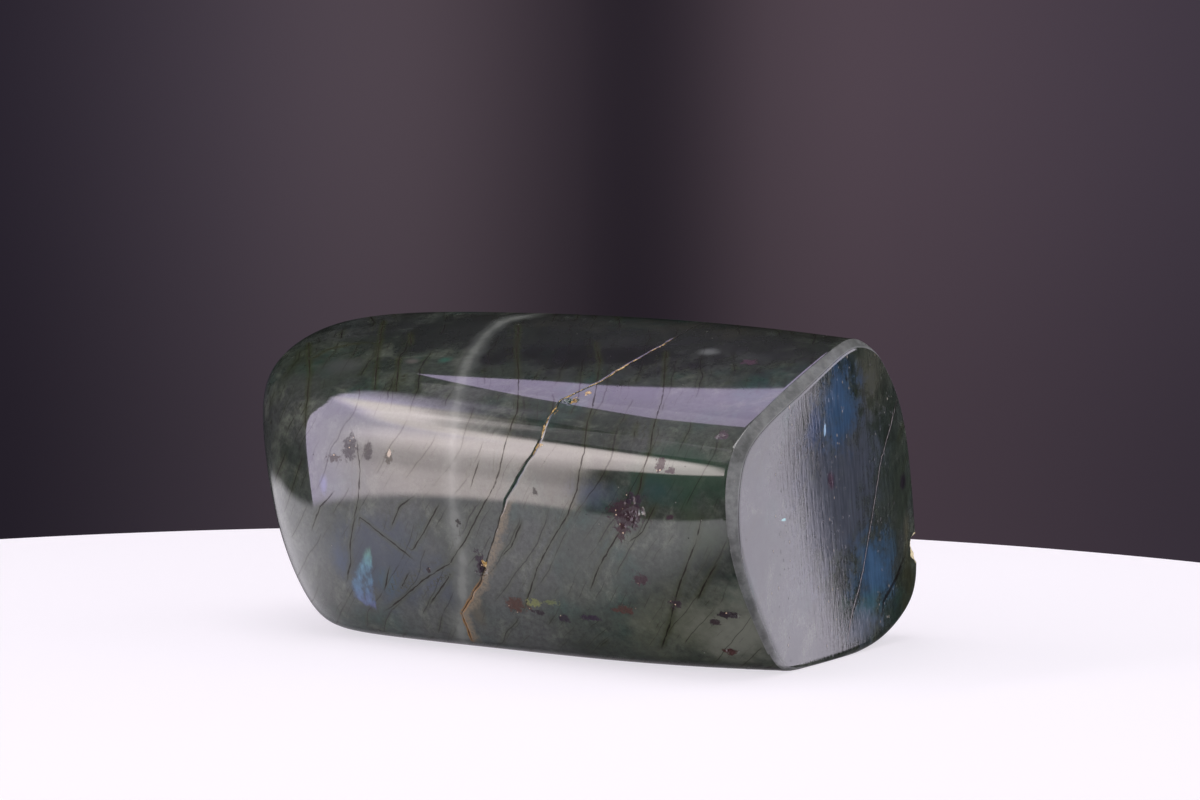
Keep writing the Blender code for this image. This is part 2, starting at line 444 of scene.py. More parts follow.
def keepMarks(stone):  # how far each corner lies from the crack, the vein and the hairlines
    places = readPlaces(stone)
    marks = {
        "crack": gapToCrack(places),
        "vein": gapAroundStone(vein["line"], places),
        "hairline": gapToHairlines(places),
        "endCrack": gapOnEnd(endCrack, places),
        "endSeam": gapOnEnd(endSeam, places),
    }
    for name, (gap, share) in marks.items():
        for label, values in (("Gap", gap), ("Share", share)):
            layer = stone.data.attributes.new(name + label, "FLOAT", "POINT")
            layer.data.foreach_set("value", np.clip(values, -20, 20).astype(np.float32))


def selectAlong(mesh, axis):
    for edge in mesh.edges:
        step = edge.verts[1].co - edge.verts[0].co
        others = [abs(step[k]) for k in range(3) if k != axis]
        edge.select_set(abs(step[axis]) > 1e-6 and max(others) < 1e-6)


def sliceBlock():
    bpy.ops.object.mode_set(mode="EDIT")
    bpy.ops.mesh.select_mode(type="EDGE")
    mesh = bmesh.from_edit_mesh(bpy.context.object.data)
    for step in range(2):
        for axis in range(3):
            bpy.ops.mesh.select_all(action="DESELECT")
            selectAlong(mesh, axis)
            bmesh.update_edit_mesh(bpy.context.object.data)
            bpy.ops.mesh.subdivide(number_cuts=stoneForm["cuts"][axis][step], smoothness=0)
            mesh = bmesh.from_edit_mesh(bpy.context.object.data)
    bpy.ops.object.mode_set(mode="OBJECT")


finerCuts = ((1.1, 0.9), (0.6, 0.5))  # how far from the crack and the pits each round of cuts reaches


def cutFiner(stone, reachOfCrack, reachOfPits):  # adds faces where the crack and the pits come
    bpy.ops.object.mode_set(mode="EDIT")
    bpy.ops.mesh.select_mode(type="FACE")
    bpy.ops.mesh.select_all(action="DESELECT")
    mesh = bmesh.from_edit_mesh(stone.data)
    mesh.faces.ensure_lookup_table()
    middles = shapeBlock(np.array([face.calc_center_median() for face in mesh.faces]))
    gap, inside = gapAroundStone(crack["line"], middles)
    girth = girthOf(middles)
    low, high = crack["open"]
    chosen = (abs(gap) < reachOfCrack) & (inside > 0) & (girth > low) & (girth < high)
    for middle, _, _, _, half, _ in pitFrames():
        chosen |= np.linalg.norm(middles - middle, axis=1) < max(half) + reachOfPits
    for index in np.nonzero(chosen)[0]:
        mesh.faces[index].select_set(True)
    bmesh.update_edit_mesh(stone.data)
    bpy.ops.mesh.subdivide(number_cuts=1, smoothness=0)
    bpy.ops.object.mode_set(mode="OBJECT")


chip = {
    "place": (46.2, 25.7, 12.9),
    "half": (1.9, 2.5, 2.3),
    "roughness": 0.22,
    "grain": 0.6,
    "fineRoughness": 0.05,
    "fineGrain": 0.16,
}


def breakChip(stone):  # the corner of the back edge is broken away
    selectNothing()
    bpy.ops.mesh.primitive_ico_sphere_add(subdivisions=6, radius=1)
    ball = bpy.context.object
    places = readPlaces(ball)
    for index, place in enumerate(places):
        spot = Vector(place)
        bulge = 1 + chip["roughness"] * noise.noise(spot / chip["grain"] + Vector(chip["place"]))
        bulge += chip["fineRoughness"] * noise.noise(spot / chip["fineGrain"])
        places[index] = place * np.array(chip["half"]) * bulge
    writePlaces(ball, places @ turned.T + np.array(chip["place"]))
    ball.data.materials.append(brokenStone)
    cut = stone.modifiers.new("chip", "BOOLEAN")
    cut.operation = "DIFFERENCE"
    cut.solver = "EXACT"
    cut.material_mode = "TRANSFER"
    cut.object = ball
    applyModifiers(stone)
    bpy.data.objects.remove(ball, do_unlink=True)


sharpEdges = {"angle": 20, "from": 38.0, "width": 0.07, "smoothAngle": 22}


def softenSharpEdges(stone):  # a hair of roundness on the edges of the sawn end
    bpy.ops.object.mode_set(mode="EDIT")
    bpy.ops.mesh.select_mode(type="EDGE")
    bpy.ops.mesh.select_all(action="DESELECT")
    mesh = bmesh.from_edit_mesh(stone.data)
    for edge in mesh.edges:
        if edge.is_manifold and edge.calc_face_angle() > math.radians(sharpEdges["angle"]):
            chipped = any(face.material_index == finish["broken"] for face in edge.link_faces)
            atEnd = all(vert.co.x > sharpEdges["from"] for vert in edge.verts)
            edge.select_set(atEnd and not chipped)
    bmesh.update_edit_mesh(stone.data)
    bpy.ops.mesh.bevel(offset=sharpEdges["width"], segments=2, profile=0.5)
    bpy.ops.object.mode_set(mode="OBJECT")


def put(tree, kind, **settings):
    node = tree.nodes.new(kind)
    for name, value in settings.items():
        setattr(node, name, value)
    return node


def feed(tree, socket, value):
    if isinstance(value, bpy.types.NodeSocket):
        tree.links.new(value, socket)
    else:
        socket.default_value = value


def calc(tree, operation, first, second=0.5, clamp=False):
    node = put(tree, "ShaderNodeMath", operation=operation, use_clamp=clamp)
    feed(tree, node.inputs[0], first)
    feed(tree, node.inputs[1], second)
    return node.outputs[0]


def vectorCalc(tree, operation, first, second):
    node = put(tree, "ShaderNodeVectorMath", operation=operation)
    feed(tree, node.inputs[0], first)
    feed(tree, node.inputs[1], second)
    return node.outputs[1] if operation in ("DOT_PRODUCT", "LENGTH", "DISTANCE") else node.outputs[0]


def scaled(tree, vector, factor):
    node = put(tree, "ShaderNodeVectorMath", operation="SCALE")
    feed(tree, node.inputs[0], vector)
    feed(tree, node.inputs["Scale"], factor)
    return node.outputs[0]


def rise(tree, value, low, high, bottom=0.0, top=1.0):
    node = put(tree, "ShaderNodeMapRange", interpolation_type="SMOOTHSTEP")
    feed(tree, node.inputs["Value"], value)
    feed(tree, node.inputs["From Min"], low)
    feed(tree, node.inputs["From Max"], high)
    feed(tree, node.inputs["To Min"], bottom)
    feed(tree, node.inputs["To Max"], top)
    return node.outputs[0]


def blend(tree, share, first, second, kind="MIX"):
    node = put(tree, "ShaderNodeMix", data_type="RGBA", blend_type=kind)
    feed(tree, node.inputs["Factor"], share)
    feed(tree, node.inputs[6], first)
    feed(tree, node.inputs[7], second)
    return node.outputs[2]


def cloud(tree, place, size, detail=3.0, roughness=0.55, shift=(0, 0, 0), distortion=0.0):
    spot = vectorCalc(tree, "ADD", place, shift) if any(shift) else place
    node = put(tree, "ShaderNodeTexNoise")
    feed(tree, node.inputs["Vector"], spot)
    node.inputs["Scale"].default_value = 1 / size
    node.inputs["Detail"].default_value = detail
    node.inputs["Roughness"].default_value = roughness
    node.inputs["Distortion"].default_value = distortion
    return node.outputs["Fac"]


def colour(red, green, blue):
    return (red, green, blue, 1.0)


def newGroup(name, inputs, outputs):
    group = bpy.data.node_groups.new(name, "ShaderNodeTree")
    kinds = {"value": "NodeSocketFloat", "vector": "NodeSocketVector", "colour": "NodeSocketColor"}
    for label, kind in inputs:
        group.interface.new_socket(name=label, in_out="INPUT", socket_type=kinds[kind])
    for label, kind in outputs:
        group.interface.new_socket(name=label, in_out="OUTPUT", socket_type=kinds[kind])
    return group, put(group, "NodeGroupInput").outputs, put(group, "NodeGroupOutput").inputs


def useGroup(tree, group, **values):
    node = put(tree, "ShaderNodeGroup", node_tree=group)
    for label, value in values.items():
        feed(tree, node.inputs[label], value)
    return node.outputs


def attribute(tree, name):
    return put(tree, "ShaderNodeAttribute", attribute_name=name).outputs["Fac"]


def greyColour(tree, value):
    node = put(tree, "ShaderNodeCombineColor")
    for channel in range(3):
        feed(tree, node.inputs[channel], value)
    return node.outputs[0]


def shaded(tree, colourIn, value):
    return blend(tree, 1.0, colourIn, greyColour(tree, value), "MULTIPLY")


def product(tree, *shares):
    result = shares[0]
    for share in shares[1:]:
        result = calc(tree, "MULTIPLY", result, share)
    return result


def total(tree, *parts):
    result = parts[0]
    for part in parts[1:]:
        result = calc(tree, "ADD", result, part)
    return result


def minus(tree, first, second):
    return calc(tree, "SUBTRACT", first, second)


def tinted(tree, base, tint, *shares):
    return blend(tree, product(tree, *shares), base, tint)


def wander(tree, place, size, detail, roughness, shift, reach):  # noise to both sides of zero
    return product(tree, minus(tree, cloud(tree, place, size, detail, roughness, shift), 0.5), reach)


def portion(tree, value, low, high):
    return calc(tree, "DIVIDE", calc(tree, "SUBTRACT", value, low), high - low, clamp=True)


def rampOf(tree, share, stops):
    node = put(tree, "ShaderNodeValToRGB")
    low, high = stops[0][0], stops[-1][0]
    feed(tree, node.inputs[0], share)
    elements = node.color_ramp.elements
    for stop, tint in stops[1:-1]:
        elements.new((stop - low) / (high - low)).color = tint
    elements[0].color = stops[0][1]
    elements[-1].color = stops[-1][1]
    return node


def patchMask(tree, place, middle, size, ragged, edge):
    values = {"Place": place, "Middle": middle, "Size": size, "Ragged": ragged, "Edge": edge}
    return useGroup(tree, softPatch, **values)["Mask"]


stoneColours = {
    "deep": colour(0.009, 0.0145, 0.009),
    "middle": colour(0.025, 0.033, 0.024),
    "milk": colour(0.082, 0.094, 0.070),
    "teal": colour(0.009, 0.034, 0.026),
    "grey": colour(0.038, 0.042, 0.039),
    "olive": colour(0.021, 0.027, 0.006),
    "line": colour(0.005, 0.004, 0.002),
    # the pale specks: painted glints of tiny pits
    "paintedSpeckGlint": colour(0.16, 0.16, 0.14),
}
cleavage = {
    "across": (1.0, 0.66, -0.58),  # the way across the parting planes
    "spacing": 3.3,
    "fineSpacing": 1.5,
    "halfWidth": 0.10,
    "halo": 0.75,
}


def cleavagePlanes(tree, place, along, spacing, halfWidth, patchSize, low, high, shift):
    planes = put(tree, "ShaderNodeTexVoronoi", voronoi_dimensions="1D", feature="DISTANCE_TO_EDGE")
    feed(tree, planes.inputs["W"], along)
    planes.inputs["Scale"].default_value = 1 / spacing
    gap = product(tree, planes.outputs["Distance"], spacing)
    patchy = rise(tree, cloud(tree, place, patchSize, 2, 0.6, shift), low, high)
    line = product(tree, rise(tree, gap, halfWidth, 0.02), patchy)
    halo = product(tree, rise(tree, gap, cleavage["halo"], 0.05), patchy)
    return line, halo


def makeDepths():  # what shows through the polish: cloudy feldspar and its parting planes
    tree, given, result = newGroup("stoneDepths", [("Place", "vector")], [
        ("Colour", "colour"), ("Lines", "value"),
    ])
    place = given["Place"]
    broad = cloud(tree, place, 19, 4, 0.6)
    body = blend(tree, rise(tree, broad, 0.38, 0.60), stoneColours["deep"], stoneColours["middle"])
    tealShare = rise(tree, cloud(tree, place, 12, 3, 0.5, (31, 7, 3)), 0.52, 0.70, 0, 0.8)
    body = blend(tree, tealShare, body, stoneColours["teal"])
    greyShare = rise(tree, cloud(tree, place, 15, 3, 0.5, (3, 41, 9)), 0.46, 0.64, 0, 0.7)
    body = blend(tree, greyShare, body, stoneColours["grey"])
    milk = rise(tree, cloud(tree, place, 6.5, 6, 0.65, (11, 3, 57), 0.6), 0.48, 0.72, 0, 0.65)
    body = blend(tree, milk, body, stoneColours["milk"])

    across = Vector(cleavage["across"]).normalized()
    waver = cloud(tree, place, 13, 2, 0.4, (5, 5, 5))
    quiver = cloud(tree, place, 2.4, 2, 0.5, (8, 1, 6))
    along = total(tree, vectorCalc(tree, "DOT_PRODUCT", place, tuple(across)), product(tree, waver, 4.0))
    along = total(tree, along, product(tree, quiver, 0.5))
    line, halo = cleavagePlanes(
        tree, place, along, cleavage["spacing"], cleavage["halfWidth"], 8.5, 0.46, 0.56, (19, 2, 8),
    )
    fineLine, fineHalo = cleavagePlanes(
        tree, place, total(tree, along, 11.3), cleavage["fineSpacing"], 0.055, 5.0, 0.52, 0.62, (4, 22, 8),
    )
    body = tinted(tree, body, stoneColours["olive"], halo, 0.4)
    body = tinted(tree, body, stoneColours["line"], line, 0.85)
    body = tinted(tree, body, stoneColours["olive"], fineHalo, 0.15)
    body = tinted(tree, body, stoneColours["line"], fineLine, 0.75)
    grain = rise(tree, cloud(tree, place, 0.8, 5, 0.75, (1, 2, 3)), 0.3, 0.7, 0.60, 1.40)
    tree.links.new(shaded(tree, body, grain), result["Colour"])
    tree.links.new(calc(tree, "MAXIMUM", line, product(tree, fineLine, 0.5)), result["Lines"])
    return tree


def makePatch():  # a patch round a place, made ragged by what comes in
    tree, given, result = newGroup("softPatch", [
        ("Place", "vector"), ("Middle", "vector"), ("Size", "vector"), ("Ragged", "value"),
        ("Edge", "value"),
    ], [("Mask", "value")])
    step = vectorCalc(tree, "SUBTRACT", given["Place"], given["Middle"])
    step = vectorCalc(tree, "DIVIDE", step, given["Size"])
    reach = total(tree, vectorCalc(tree, "LENGTH", step, (0, 0, 0)), given["Ragged"])
    tree.links.new(rise(tree, reach, 1.0, given["Edge"]), result["Mask"])
    return tree


def makeSpecks():  # scattered grains: their spacing and size, and the share of the cells that hold one
    tree, given, result = newGroup("specks", [
        ("Place", "vector"), ("Spacing", "value"), ("Size", "value"), ("Share", "value"),
    ], [("Mask", "value"), ("Draw", "value")])
    node = put(tree, "ShaderNodeTexVoronoi", feature="F1")
    feed(tree, node.inputs["Vector"], given["Place"])
    feed(tree, node.inputs["Scale"], calc(tree, "DIVIDE", 1.0, given["Spacing"]))
    gap = product(tree, node.outputs["Distance"], given["Spacing"])
    draws = put(tree, "ShaderNodeSeparateColor")
    feed(tree, draws.inputs[0], node.outputs["Color"])
    chosen = calc(tree, "LESS_THAN", draws.outputs[0], given["Share"])
    size = product(tree, given["Size"], rise(tree, draws.outputs[1], 0, 1, 0.4, 1.3))
    dot = rise(tree, gap, size, product(tree, size, 0.4))
    tree.links.new(product(tree, dot, chosen), result["Mask"])
    tree.links.new(draws.outputs[2], result["Draw"])
    return tree


def startMaterial(name):
    material = bpy.data.materials.new(name)
    material.use_nodes = True
    tree = material.node_tree
    shader = tree.nodes["Principled BSDF"]
    coordinates = put(tree, "ShaderNodeTexCoord").outputs["Object"]
    place = scaled(tree, coordinates, 1 / mm)
    return material, tree, shader, place


def bumped(tree, shader, height, depth):  # depth in millimetres for a height of 1
    bump = put(tree, "ShaderNodeBump")
    bump.inputs["Distance"].default_value = depth * mm
    feed(tree, bump.inputs["Height"], height)
    feed(tree, shader.inputs["Normal"], bump.outputs[0])


stoneDepths = makeDepths()
softPatch = makePatch()
specks = makeSpecks()

# Broad tints under the polish: middle, half-sizes, colour, strength and where the edge starts. A
# separate program worked out many of the places from here down to the streaks.
zones = {
    "darkTop": ((8, 2, 43.0), (70, 15, 7.5), colour(0.0065, 0.0085, 0.006), 0.85, 0.4),
    "blackTop": ((10, -5, 40.0), (24, 8, 4.5), colour(0.003, 0.0035, 0.0025), 0.85, 0.2),
    "oliveCrest": ((4, 8, 42.5), (46, 5.0, 3.0), colour(0.026, 0.026, 0.017), 0.7, 0.0),
    "leftShoulder": ((-31, -8, 36), (12, 11, 9), colour(0.016, 0.022, 0.013), 0.6, 0.1),
    "leftEnd": ((-43, -6, 24), (8, 12, 14), colour(0.013, 0.021, 0.010), 0.7, 0.2),
    "leftCloud": ((-28.1, -10.8, 38.0), (5.0, 4.0, 2.6), colour(0.045, 0.050, 0.046), 0.7, 0.0),
    "topCloud": ((-17.5, -8.4, 39.1), (1.9, 1.5, 0.9), colour(0.085, 0.080, 0.070), 0.7, 0.0),
    "whiteCloud": ((25.6, -0.6, 41.4), (2.8, 1.6, 1.2), colour(0.110, 0.120, 0.115), 0.75, 0.0),
    "greenRight": ((34, -24, 27.0), (11, 5, 5.5), colour(0.010, 0.035, 0.018), 0.8, 0.3),
    "tealRight": ((31, -24.6, 25.0), (5, 3, 2.6), colour(0.008, 0.034, 0.032), 0.7, 0.1),
    "tealSpot": ((-12.5, -7.6, 39.3), (1.7, 2.0, 0.9), colour(0.020, 0.085, 0.058), 0.7, 0.1),
    # violetMiddle and the blue zones down to violetSpot are the stone's blue flash, a painted sheen
    "violetMiddle": ((20.0, -23.9, 24.0), (6.0, 3, 2.8), colour(0.050, 0.064, 0.094), 0.75, 0.0),
    "blueField": ((-14.0, -20.0, 12.0), (15, 7, 9.0), colour(0.010, 0.020, 0.040), 0.85, 0.15),
    "blueNearFlash": ((-22.6, -19.0, 11.2), (2.6, 3.2, 5.4), colour(0.013, 0.031, 0.070), 0.85, 0.0),
    "blueRightOfFlash": ((-14.4, -19.6, 9.4), (3.0, 3, 3.2), colour(0.012, 0.042, 0.066), 0.75, 0.0),
    "blueFarRight": ((-6.5, -20.4, 9.6), (3.6, 3, 3.2), colour(0.018, 0.028, 0.052), 0.7, 0.0),
    "violetSpot": ((-24.9, -19.6, 22.0), (1.0, 1.6, 1.9), colour(0.080, 0.090, 0.200), 0.8, 0.2),
    "oliveFoot": ((36, -20, 6.0), (15, 7, 10.0), colour(0.078, 0.086, 0.056), 0.75, 0.1),
    "paleFoot": ((41, -19, 6.0), (12, 8, 11.0), colour(0.150, 0.158, 0.130), 0.7, 0.0),
    "mossRight": ((38, -24.5, 20.0), (6, 5, 5.0), colour(0.030, 0.046, 0.022), 0.7, 0.0),
    "stain": ((0.4, -19.3, 6.0), (2.0, 4, 4.2), colour(0.062, 0.050, 0.022), 0.6, 0.0),
}

# Ragged dark grains: middle, half-sizes, colour and strength.
inclusions = {
    "cluster": ((26.4, -24.5, 21.5), (2.9, 2, 2.2), colour(0.030, 0.014, 0.020), 0.9),
    "clusterTop": ((27.6, -24.5, 23.6), (1.7, 2, 0.9), colour(0.022, 0.012, 0.022), 0.85),
    "clusterTail": ((25.6, -24.3, 19.2), (0.7, 2, 1.3), colour(0.035, 0.015, 0.018), 0.85),
    "byTheCrack": ((2.1, -21.8, 12.9), (0.9, 2, 2.0), colour(0.020, 0.010, 0.018), 0.95),
    "redFoot": ((7.3, -20.9, 7.7), (2.0, 2, 1.2), colour(0.052, 0.022, 0.014), 0.9),
    "darkFootLeft": ((10.9, -20.9, 6.9), (1.1, 2, 0.4), colour(0.016, 0.010, 0.014), 0.9),
    "darkFootMiddle": ((15.1, -20.9, 6.5), (1.4, 2, 0.6), colour(0.016, 0.009, 0.018), 0.9),
    "darkFootRight": ((19.1, -21.3, 6.9), (1.8, 2, 0.5), colour(0.020, 0.010, 0.024), 0.9),
    "redMiddle": ((24.7, -22.0, 8.5), (1.6, 2, 0.7), colour(0.055, 0.024, 0.018), 0.85),
    "purpleMiddle": ((28.0, -23.5, 12.9), (1.5, 2, 1.0), colour(0.040, 0.018, 0.024), 0.85),
    "small": ((33.3, -25.0, 21.6), (0.6, 2, 0.6), colour(0.030, 0.014, 0.022), 0.9),
    "lowRight": ((32.6, -22.2, 9.9), (0.9, 2, 0.9), colour(0.026, 0.013, 0.022), 0.8),
    "edgeRight": ((39.3, -20.3, 8.6), (1.7, 2, 0.6), colour(0.018, 0.010, 0.016), 0.9),
    "edgeRightLow": ((37.3, -20.1, 7.5), (0.8, 2, 0.5), colour(0.022, 0.010, 0.016), 0.85),
    "footRed": ((37.8, -16.5, 3.1), (1.1, 2, 0.6), colour(0.045, 0.012, 0.012), 0.9),
    "shoulder": ((31.4, -24.2, 28.2), (0.9, 2, 0.9), colour(0.035, 0.014, 0.022), 0.9),
    "shoulderRight": ((33.0, -24.2, 27.6), (0.7, 2, 0.5), colour(0.035, 0.014, 0.026), 0.85),
    "underBevel": ((39.0, -21.6, 32.2), (1.2, 2, 0.6), colour(0.060, 0.040, 0.052), 0.8),
    "crest": ((33.3, -2.8, 40.4), (1.4, 1, 0.6), colour(0.050, 0.026, 0.040), 0.8),
    "leftBrown": ((-23.2, -19.8, 26.0), (1.3, 2, 0.9), colour(0.060, 0.036, 0.034), 0.55),
    "leftPurple": ((-20.2, -20.1, 27.6), (1.4, 2, 2.0), colour(0.060, 0.042, 0.060), 0.4),
    "leftPurpleRight": ((-16.9, -20.5, 27.5), (0.8, 2, 1.3), colour(0.055, 0.038, 0.050), 0.4),
    "leftGlint": ((-13.2, -20.9, 26.8), (0.9, 2, 0.9), colour(0.070, 0.060, 0.045), 0.7),
    "grainByVein": ((-1.2, -21.4, 18.6), (0.5, 2, 0.6), colour(0.016, 0.012, 0.010), 0.9),
    "grainLeft": ((-6.9, -20.7, 11.5), (0.4, 2, 0.5), colour(0.018, 0.010, 0.012), 0.9),
    "grainMiddle": ((11.7, -23.2, 23.5), (0.5, 2, 0.6), colour(0.008, 0.008, 0.007), 0.9),
}
paleStreaks = {
    "yellowLeft": ((10.3, -21.3, 8.3), (1.2, 2, 0.6), colour(0.150, 0.165, 0.060), 0.8),
    "yellowRight": ((13.2, -21.6, 8.6), (1.5, 2, 0.4), colour(0.110, 0.130, 0.050), 0.7),
    "upperGlint": ((-13.1, -21.0, 27.3), (0.35, 2, 0.5), colour(0.500, 0.420, 0.330), 0.9),
}

# The bright flash, a painted sheen: the stone's blue flash is painted into its colour. Its sides as a
# place, the way inwards and how softly it fades, all seen from the front.
flash = {
    "sides": (
        ((-16.8, 9.0), (-1.0, 0.06), 0.6),
        ((-19.2, 11.8), (0.80, -0.60), 0.9),
        ((-21.4, 7.3), (1.0, 0.10), 1.2),
        ((-21.4, 6.0), (0.35, 0.94), 0.7),
        ((-16.9, 16.0), (0.0, -1.0), 3.0),
    ),
    "colours": (
        (5.5, colour(0.040, 0.052, 0.120)),
        (7.5, colour(0.032, 0.075, 0.140)),
        (11.0, colour(0.045, 0.115, 0.165)),
        (13.0, colour(0.052, 0.140, 0.125)),
        (15.5, colour(0.034, 0.060, 0.040)),
    ),
}

crackColours = {
    "gold": colour(0.300, 0.175, 0.035),
    "paleGold": colour(0.560, 0.420, 0.190),
    "edge": colour(0.006, 0.005, 0.003),
    "green": colour(0.008, 0.050, 0.036),
    "tan": colour(0.125, 0.098, 0.058),
    "rust": colour(0.200, 0.095, 0.016),
    "vein": colour(0.092, 0.102, 0.090),
    "veinCore": colour(0.135, 0.146, 0.128),
    "hairline": colour(0.009, 0.006, 0.003),
    "glint": colour(0.750, 0.560, 0.380),
}
grainEdge = 0.6  # the share of its half-size at which a dark grain starts to fade
nuggetEdge = 0.75  # and a bit of gold

# Bits of gold in the crack: places on the skin and half-sizes.
nuggets = (
    ((14.6, -14.0, 36.3), (0.5, 1, 0.5)),
    ((13.6, -15.8, 35.2), (0.5, 1, 0.5)),
    ((12.3, -18.4, 33.4), (0.35, 1, 0.6)),
    ((11.7, -20.3, 31.8), (0.4, 1, 0.45)),
    ((11.9, -21.6, 29.6), (0.6, 1, 0.4)),
    ((2.9, -21.9, 13.1), (0.5, 1, 0.55)),
)


def heightOf(tree, place):
    parts = put(tree, "ShaderNodeSeparateXYZ")
    feed(tree, parts.inputs[0], place)
    return parts.outputs[2]


def addZones(tree, place, base, patches, ragged):
    for middle, size, tint, strength, edge in patches.values():
        base = tinted(tree, base, tint, patchMask(tree, place, middle, size, ragged, edge), strength)
    return base


def addInclusions(tree, place, base, ragged):
    dark = None
    for middle, size, tint, strength in (*inclusions.values(), *paleStreaks.values()):
        mask = patchMask(tree, place, middle, size, ragged, grainEdge)
        base = tinted(tree, base, tint, mask, strength)
        dark = mask if dark is None else calc(tree, "MAXIMUM", dark, mask)
    return base, dark


# paints the stone's blue flash into the colour, a painted sheen
def addFlash(tree, place, base, ragged):
    parts = put(tree, "ShaderNodeSeparateXYZ")
    feed(tree, parts.inputs[0], place)
    x, y, z = parts.outputs
    mask = rise(tree, y, -14, -16)
    for (sideX, sideZ), (inX, inZ), soft in flash["sides"]:
        length = math.hypot(inX, inZ)
        reachX = product(tree, minus(tree, x, sideX), inX / length)
        reachZ = product(tree, minus(tree, z, sideZ), inZ / length)
        reach = total(tree, reachX, reachZ, product(tree, ragged, 1.3))
        mask = product(tree, mask, rise(tree, reach, 0.0, soft))
    low, high = flash["colours"][0][0], flash["colours"][-1][0]
    wobble = total(tree, z, product(tree, ragged, 3.0))
    ramp = rampOf(tree, portion(tree, wobble, low, high), flash["colours"])
    plumes = cloud(tree, vectorCalc(tree, "MULTIPLY", place, (1.3, 1.3, 0.55)), 1.1, 4, 0.6, (2, 9, 4))
    tint = shaded(tree, ramp.outputs[0], rise(tree, plumes, 0.35, 0.70, 0.75, 1.5))
    return tinted(tree, base, tint, mask, rise(tree, plumes, 0.28, 0.52, 0.4, 1.0))


def addHairlines(tree, place, base, quiver):
    gap = calc(tree, "ABSOLUTE", total(tree, attribute(tree, "hairlineGap"), product(tree, quiver, 0.35)))
    share = attribute(tree, "hairlineShare")
    present = rise(tree, cloud(tree, place, 3.2, 3, 0.6, (6, 6, 1)), 0.28, 0.40)
    halo = product(tree, rise(tree, gap, 0.9, 0.05, 0, 0.55), share)
    width = rise(tree, cloud(tree, place, 1.6, 2, 0.5, (1, 4, 6)), 0.35, 0.65, 0.07, 0.19)
    line = product(tree, rise(tree, gap, width, product(tree, width, 0.25)), share, present)
    base = blend(tree, halo, base, stoneColours["olive"])
    return tinted(tree, base, crackColours["hairline"], line, 0.92), line


def addVein(tree, place, base):
    wide = cloud(tree, place, 4.0, 4, 0.6, (14, 3, 3))
    gap = calc(tree, "ABSOLUTE", attribute(tree, "veinGap"))
    gap = total(tree, gap, rise(tree, wide, 0.3, 0.7, -0.30, 0.35))
    veil = product(tree, rise(tree, gap, 2.4, 0.3), attribute(tree, "veinShare"))
    core = product(tree, rise(tree, gap, 0.95, 0.1), attribute(tree, "veinShare"))
    base = tinted(tree, base, crackColours["vein"], veil, 0.55)
    return tinted(tree, base, crackColours["veinCore"], core, rise(tree, wide, 0.35, 0.65, 0.65, 0.35))


def addCrack(tree, place, base, quiver, ragged):
    gap = total(tree, attribute(tree, "crackGap"), product(tree, quiver, 0.2))
    near = calc(tree, "ABSOLUTE", gap)
    share = attribute(tree, "crackShare")
    height = heightOf(tree, place)
    front = rise(tree, vectorCalc(tree, "DOT_PRODUCT", place, (0, 1, 0)), 4, 0)
    lumps = cloud(tree, place, 1.5, 3, 0.65, (3, 8, 2))
    crumbs = cloud(tree, place, 0.45, 3, 0.7, (9, 8, 2))
    upper = product(tree, rise(tree, height, 27.5, 30.0), share)
    lower = product(tree, rise(tree, height, 23.5, 20.5), share, front)
    middle = product(tree, rise(tree, height, 20.0, 22.5), rise(tree, height, 30.0, 28.0), share, front)

    # lower part: a tan band to the right of a fine dark line, rusty at the foot
    bandEdge = rise(tree, lumps, 0.3, 0.7, 1.1, 2.2)
    band = rise(tree, gap, bandEdge, product(tree, bandEdge, 0.3))
    band = product(tree, rise(tree, gap, -0.12, 0.10), band)
    base = tinted(tree, base, crackColours["tan"], band, lower, rise(tree, crumbs, 0.3, 0.6, 0.3, 1.0))
    rust = product(
        tree, lower, rise(tree, height, 12.0, 9.0), rise(tree, near, 0.42, 0.08),
        rise(tree, lumps, 0.3, 0.5, 0.3, 1.0),
    )
    base = blend(tree, rust, base, crackColours["rust"])
    # middle part: green
    base = tinted(tree, base, crackColours["green"], middle, rise(tree, near, 0.26, 0.08, 0.0, 0.7))
    # fine dark line throughout
    edgeWidth = rise(tree, lumps, 0.35, 0.7, 0.08, 0.20)
    edge = product(tree, share, rise(tree, near, edgeWidth, product(tree, edgeWidth, 0.4)))
    # upper part: gold in pieces
    goldWidth = rise(tree, lumps, 0.42, 0.66, 0.05, 0.26)
    gold = product(tree, upper, front, rise(tree, near, goldWidth, product(tree, goldWidth, 0.5)))
    gold = product(tree, gold, rise(tree, crumbs, 0.40, 0.50), rise(tree, lumps, 0.36, 0.46))
    for spot, size in nuggets:
        mask = patchMask(tree, place, spot, size, ragged, nuggetEdge)
        gold = calc(tree, "MAXIMUM", gold, product(tree, mask, rise(tree, crumbs, 0.36, 0.46)))
        edge = calc(tree, "MAXIMUM", edge, product(tree, mask, 0.7))
    base = tinted(tree, base, crackColours["edge"], edge, 0.8)
    fill = blend(tree, rise(tree, crumbs, 0.45, 0.62), crackColours["gold"], crackColours["paleGold"])
    base = tinted(tree, base, fill, gold, 0.9)
    return base, gold, edge


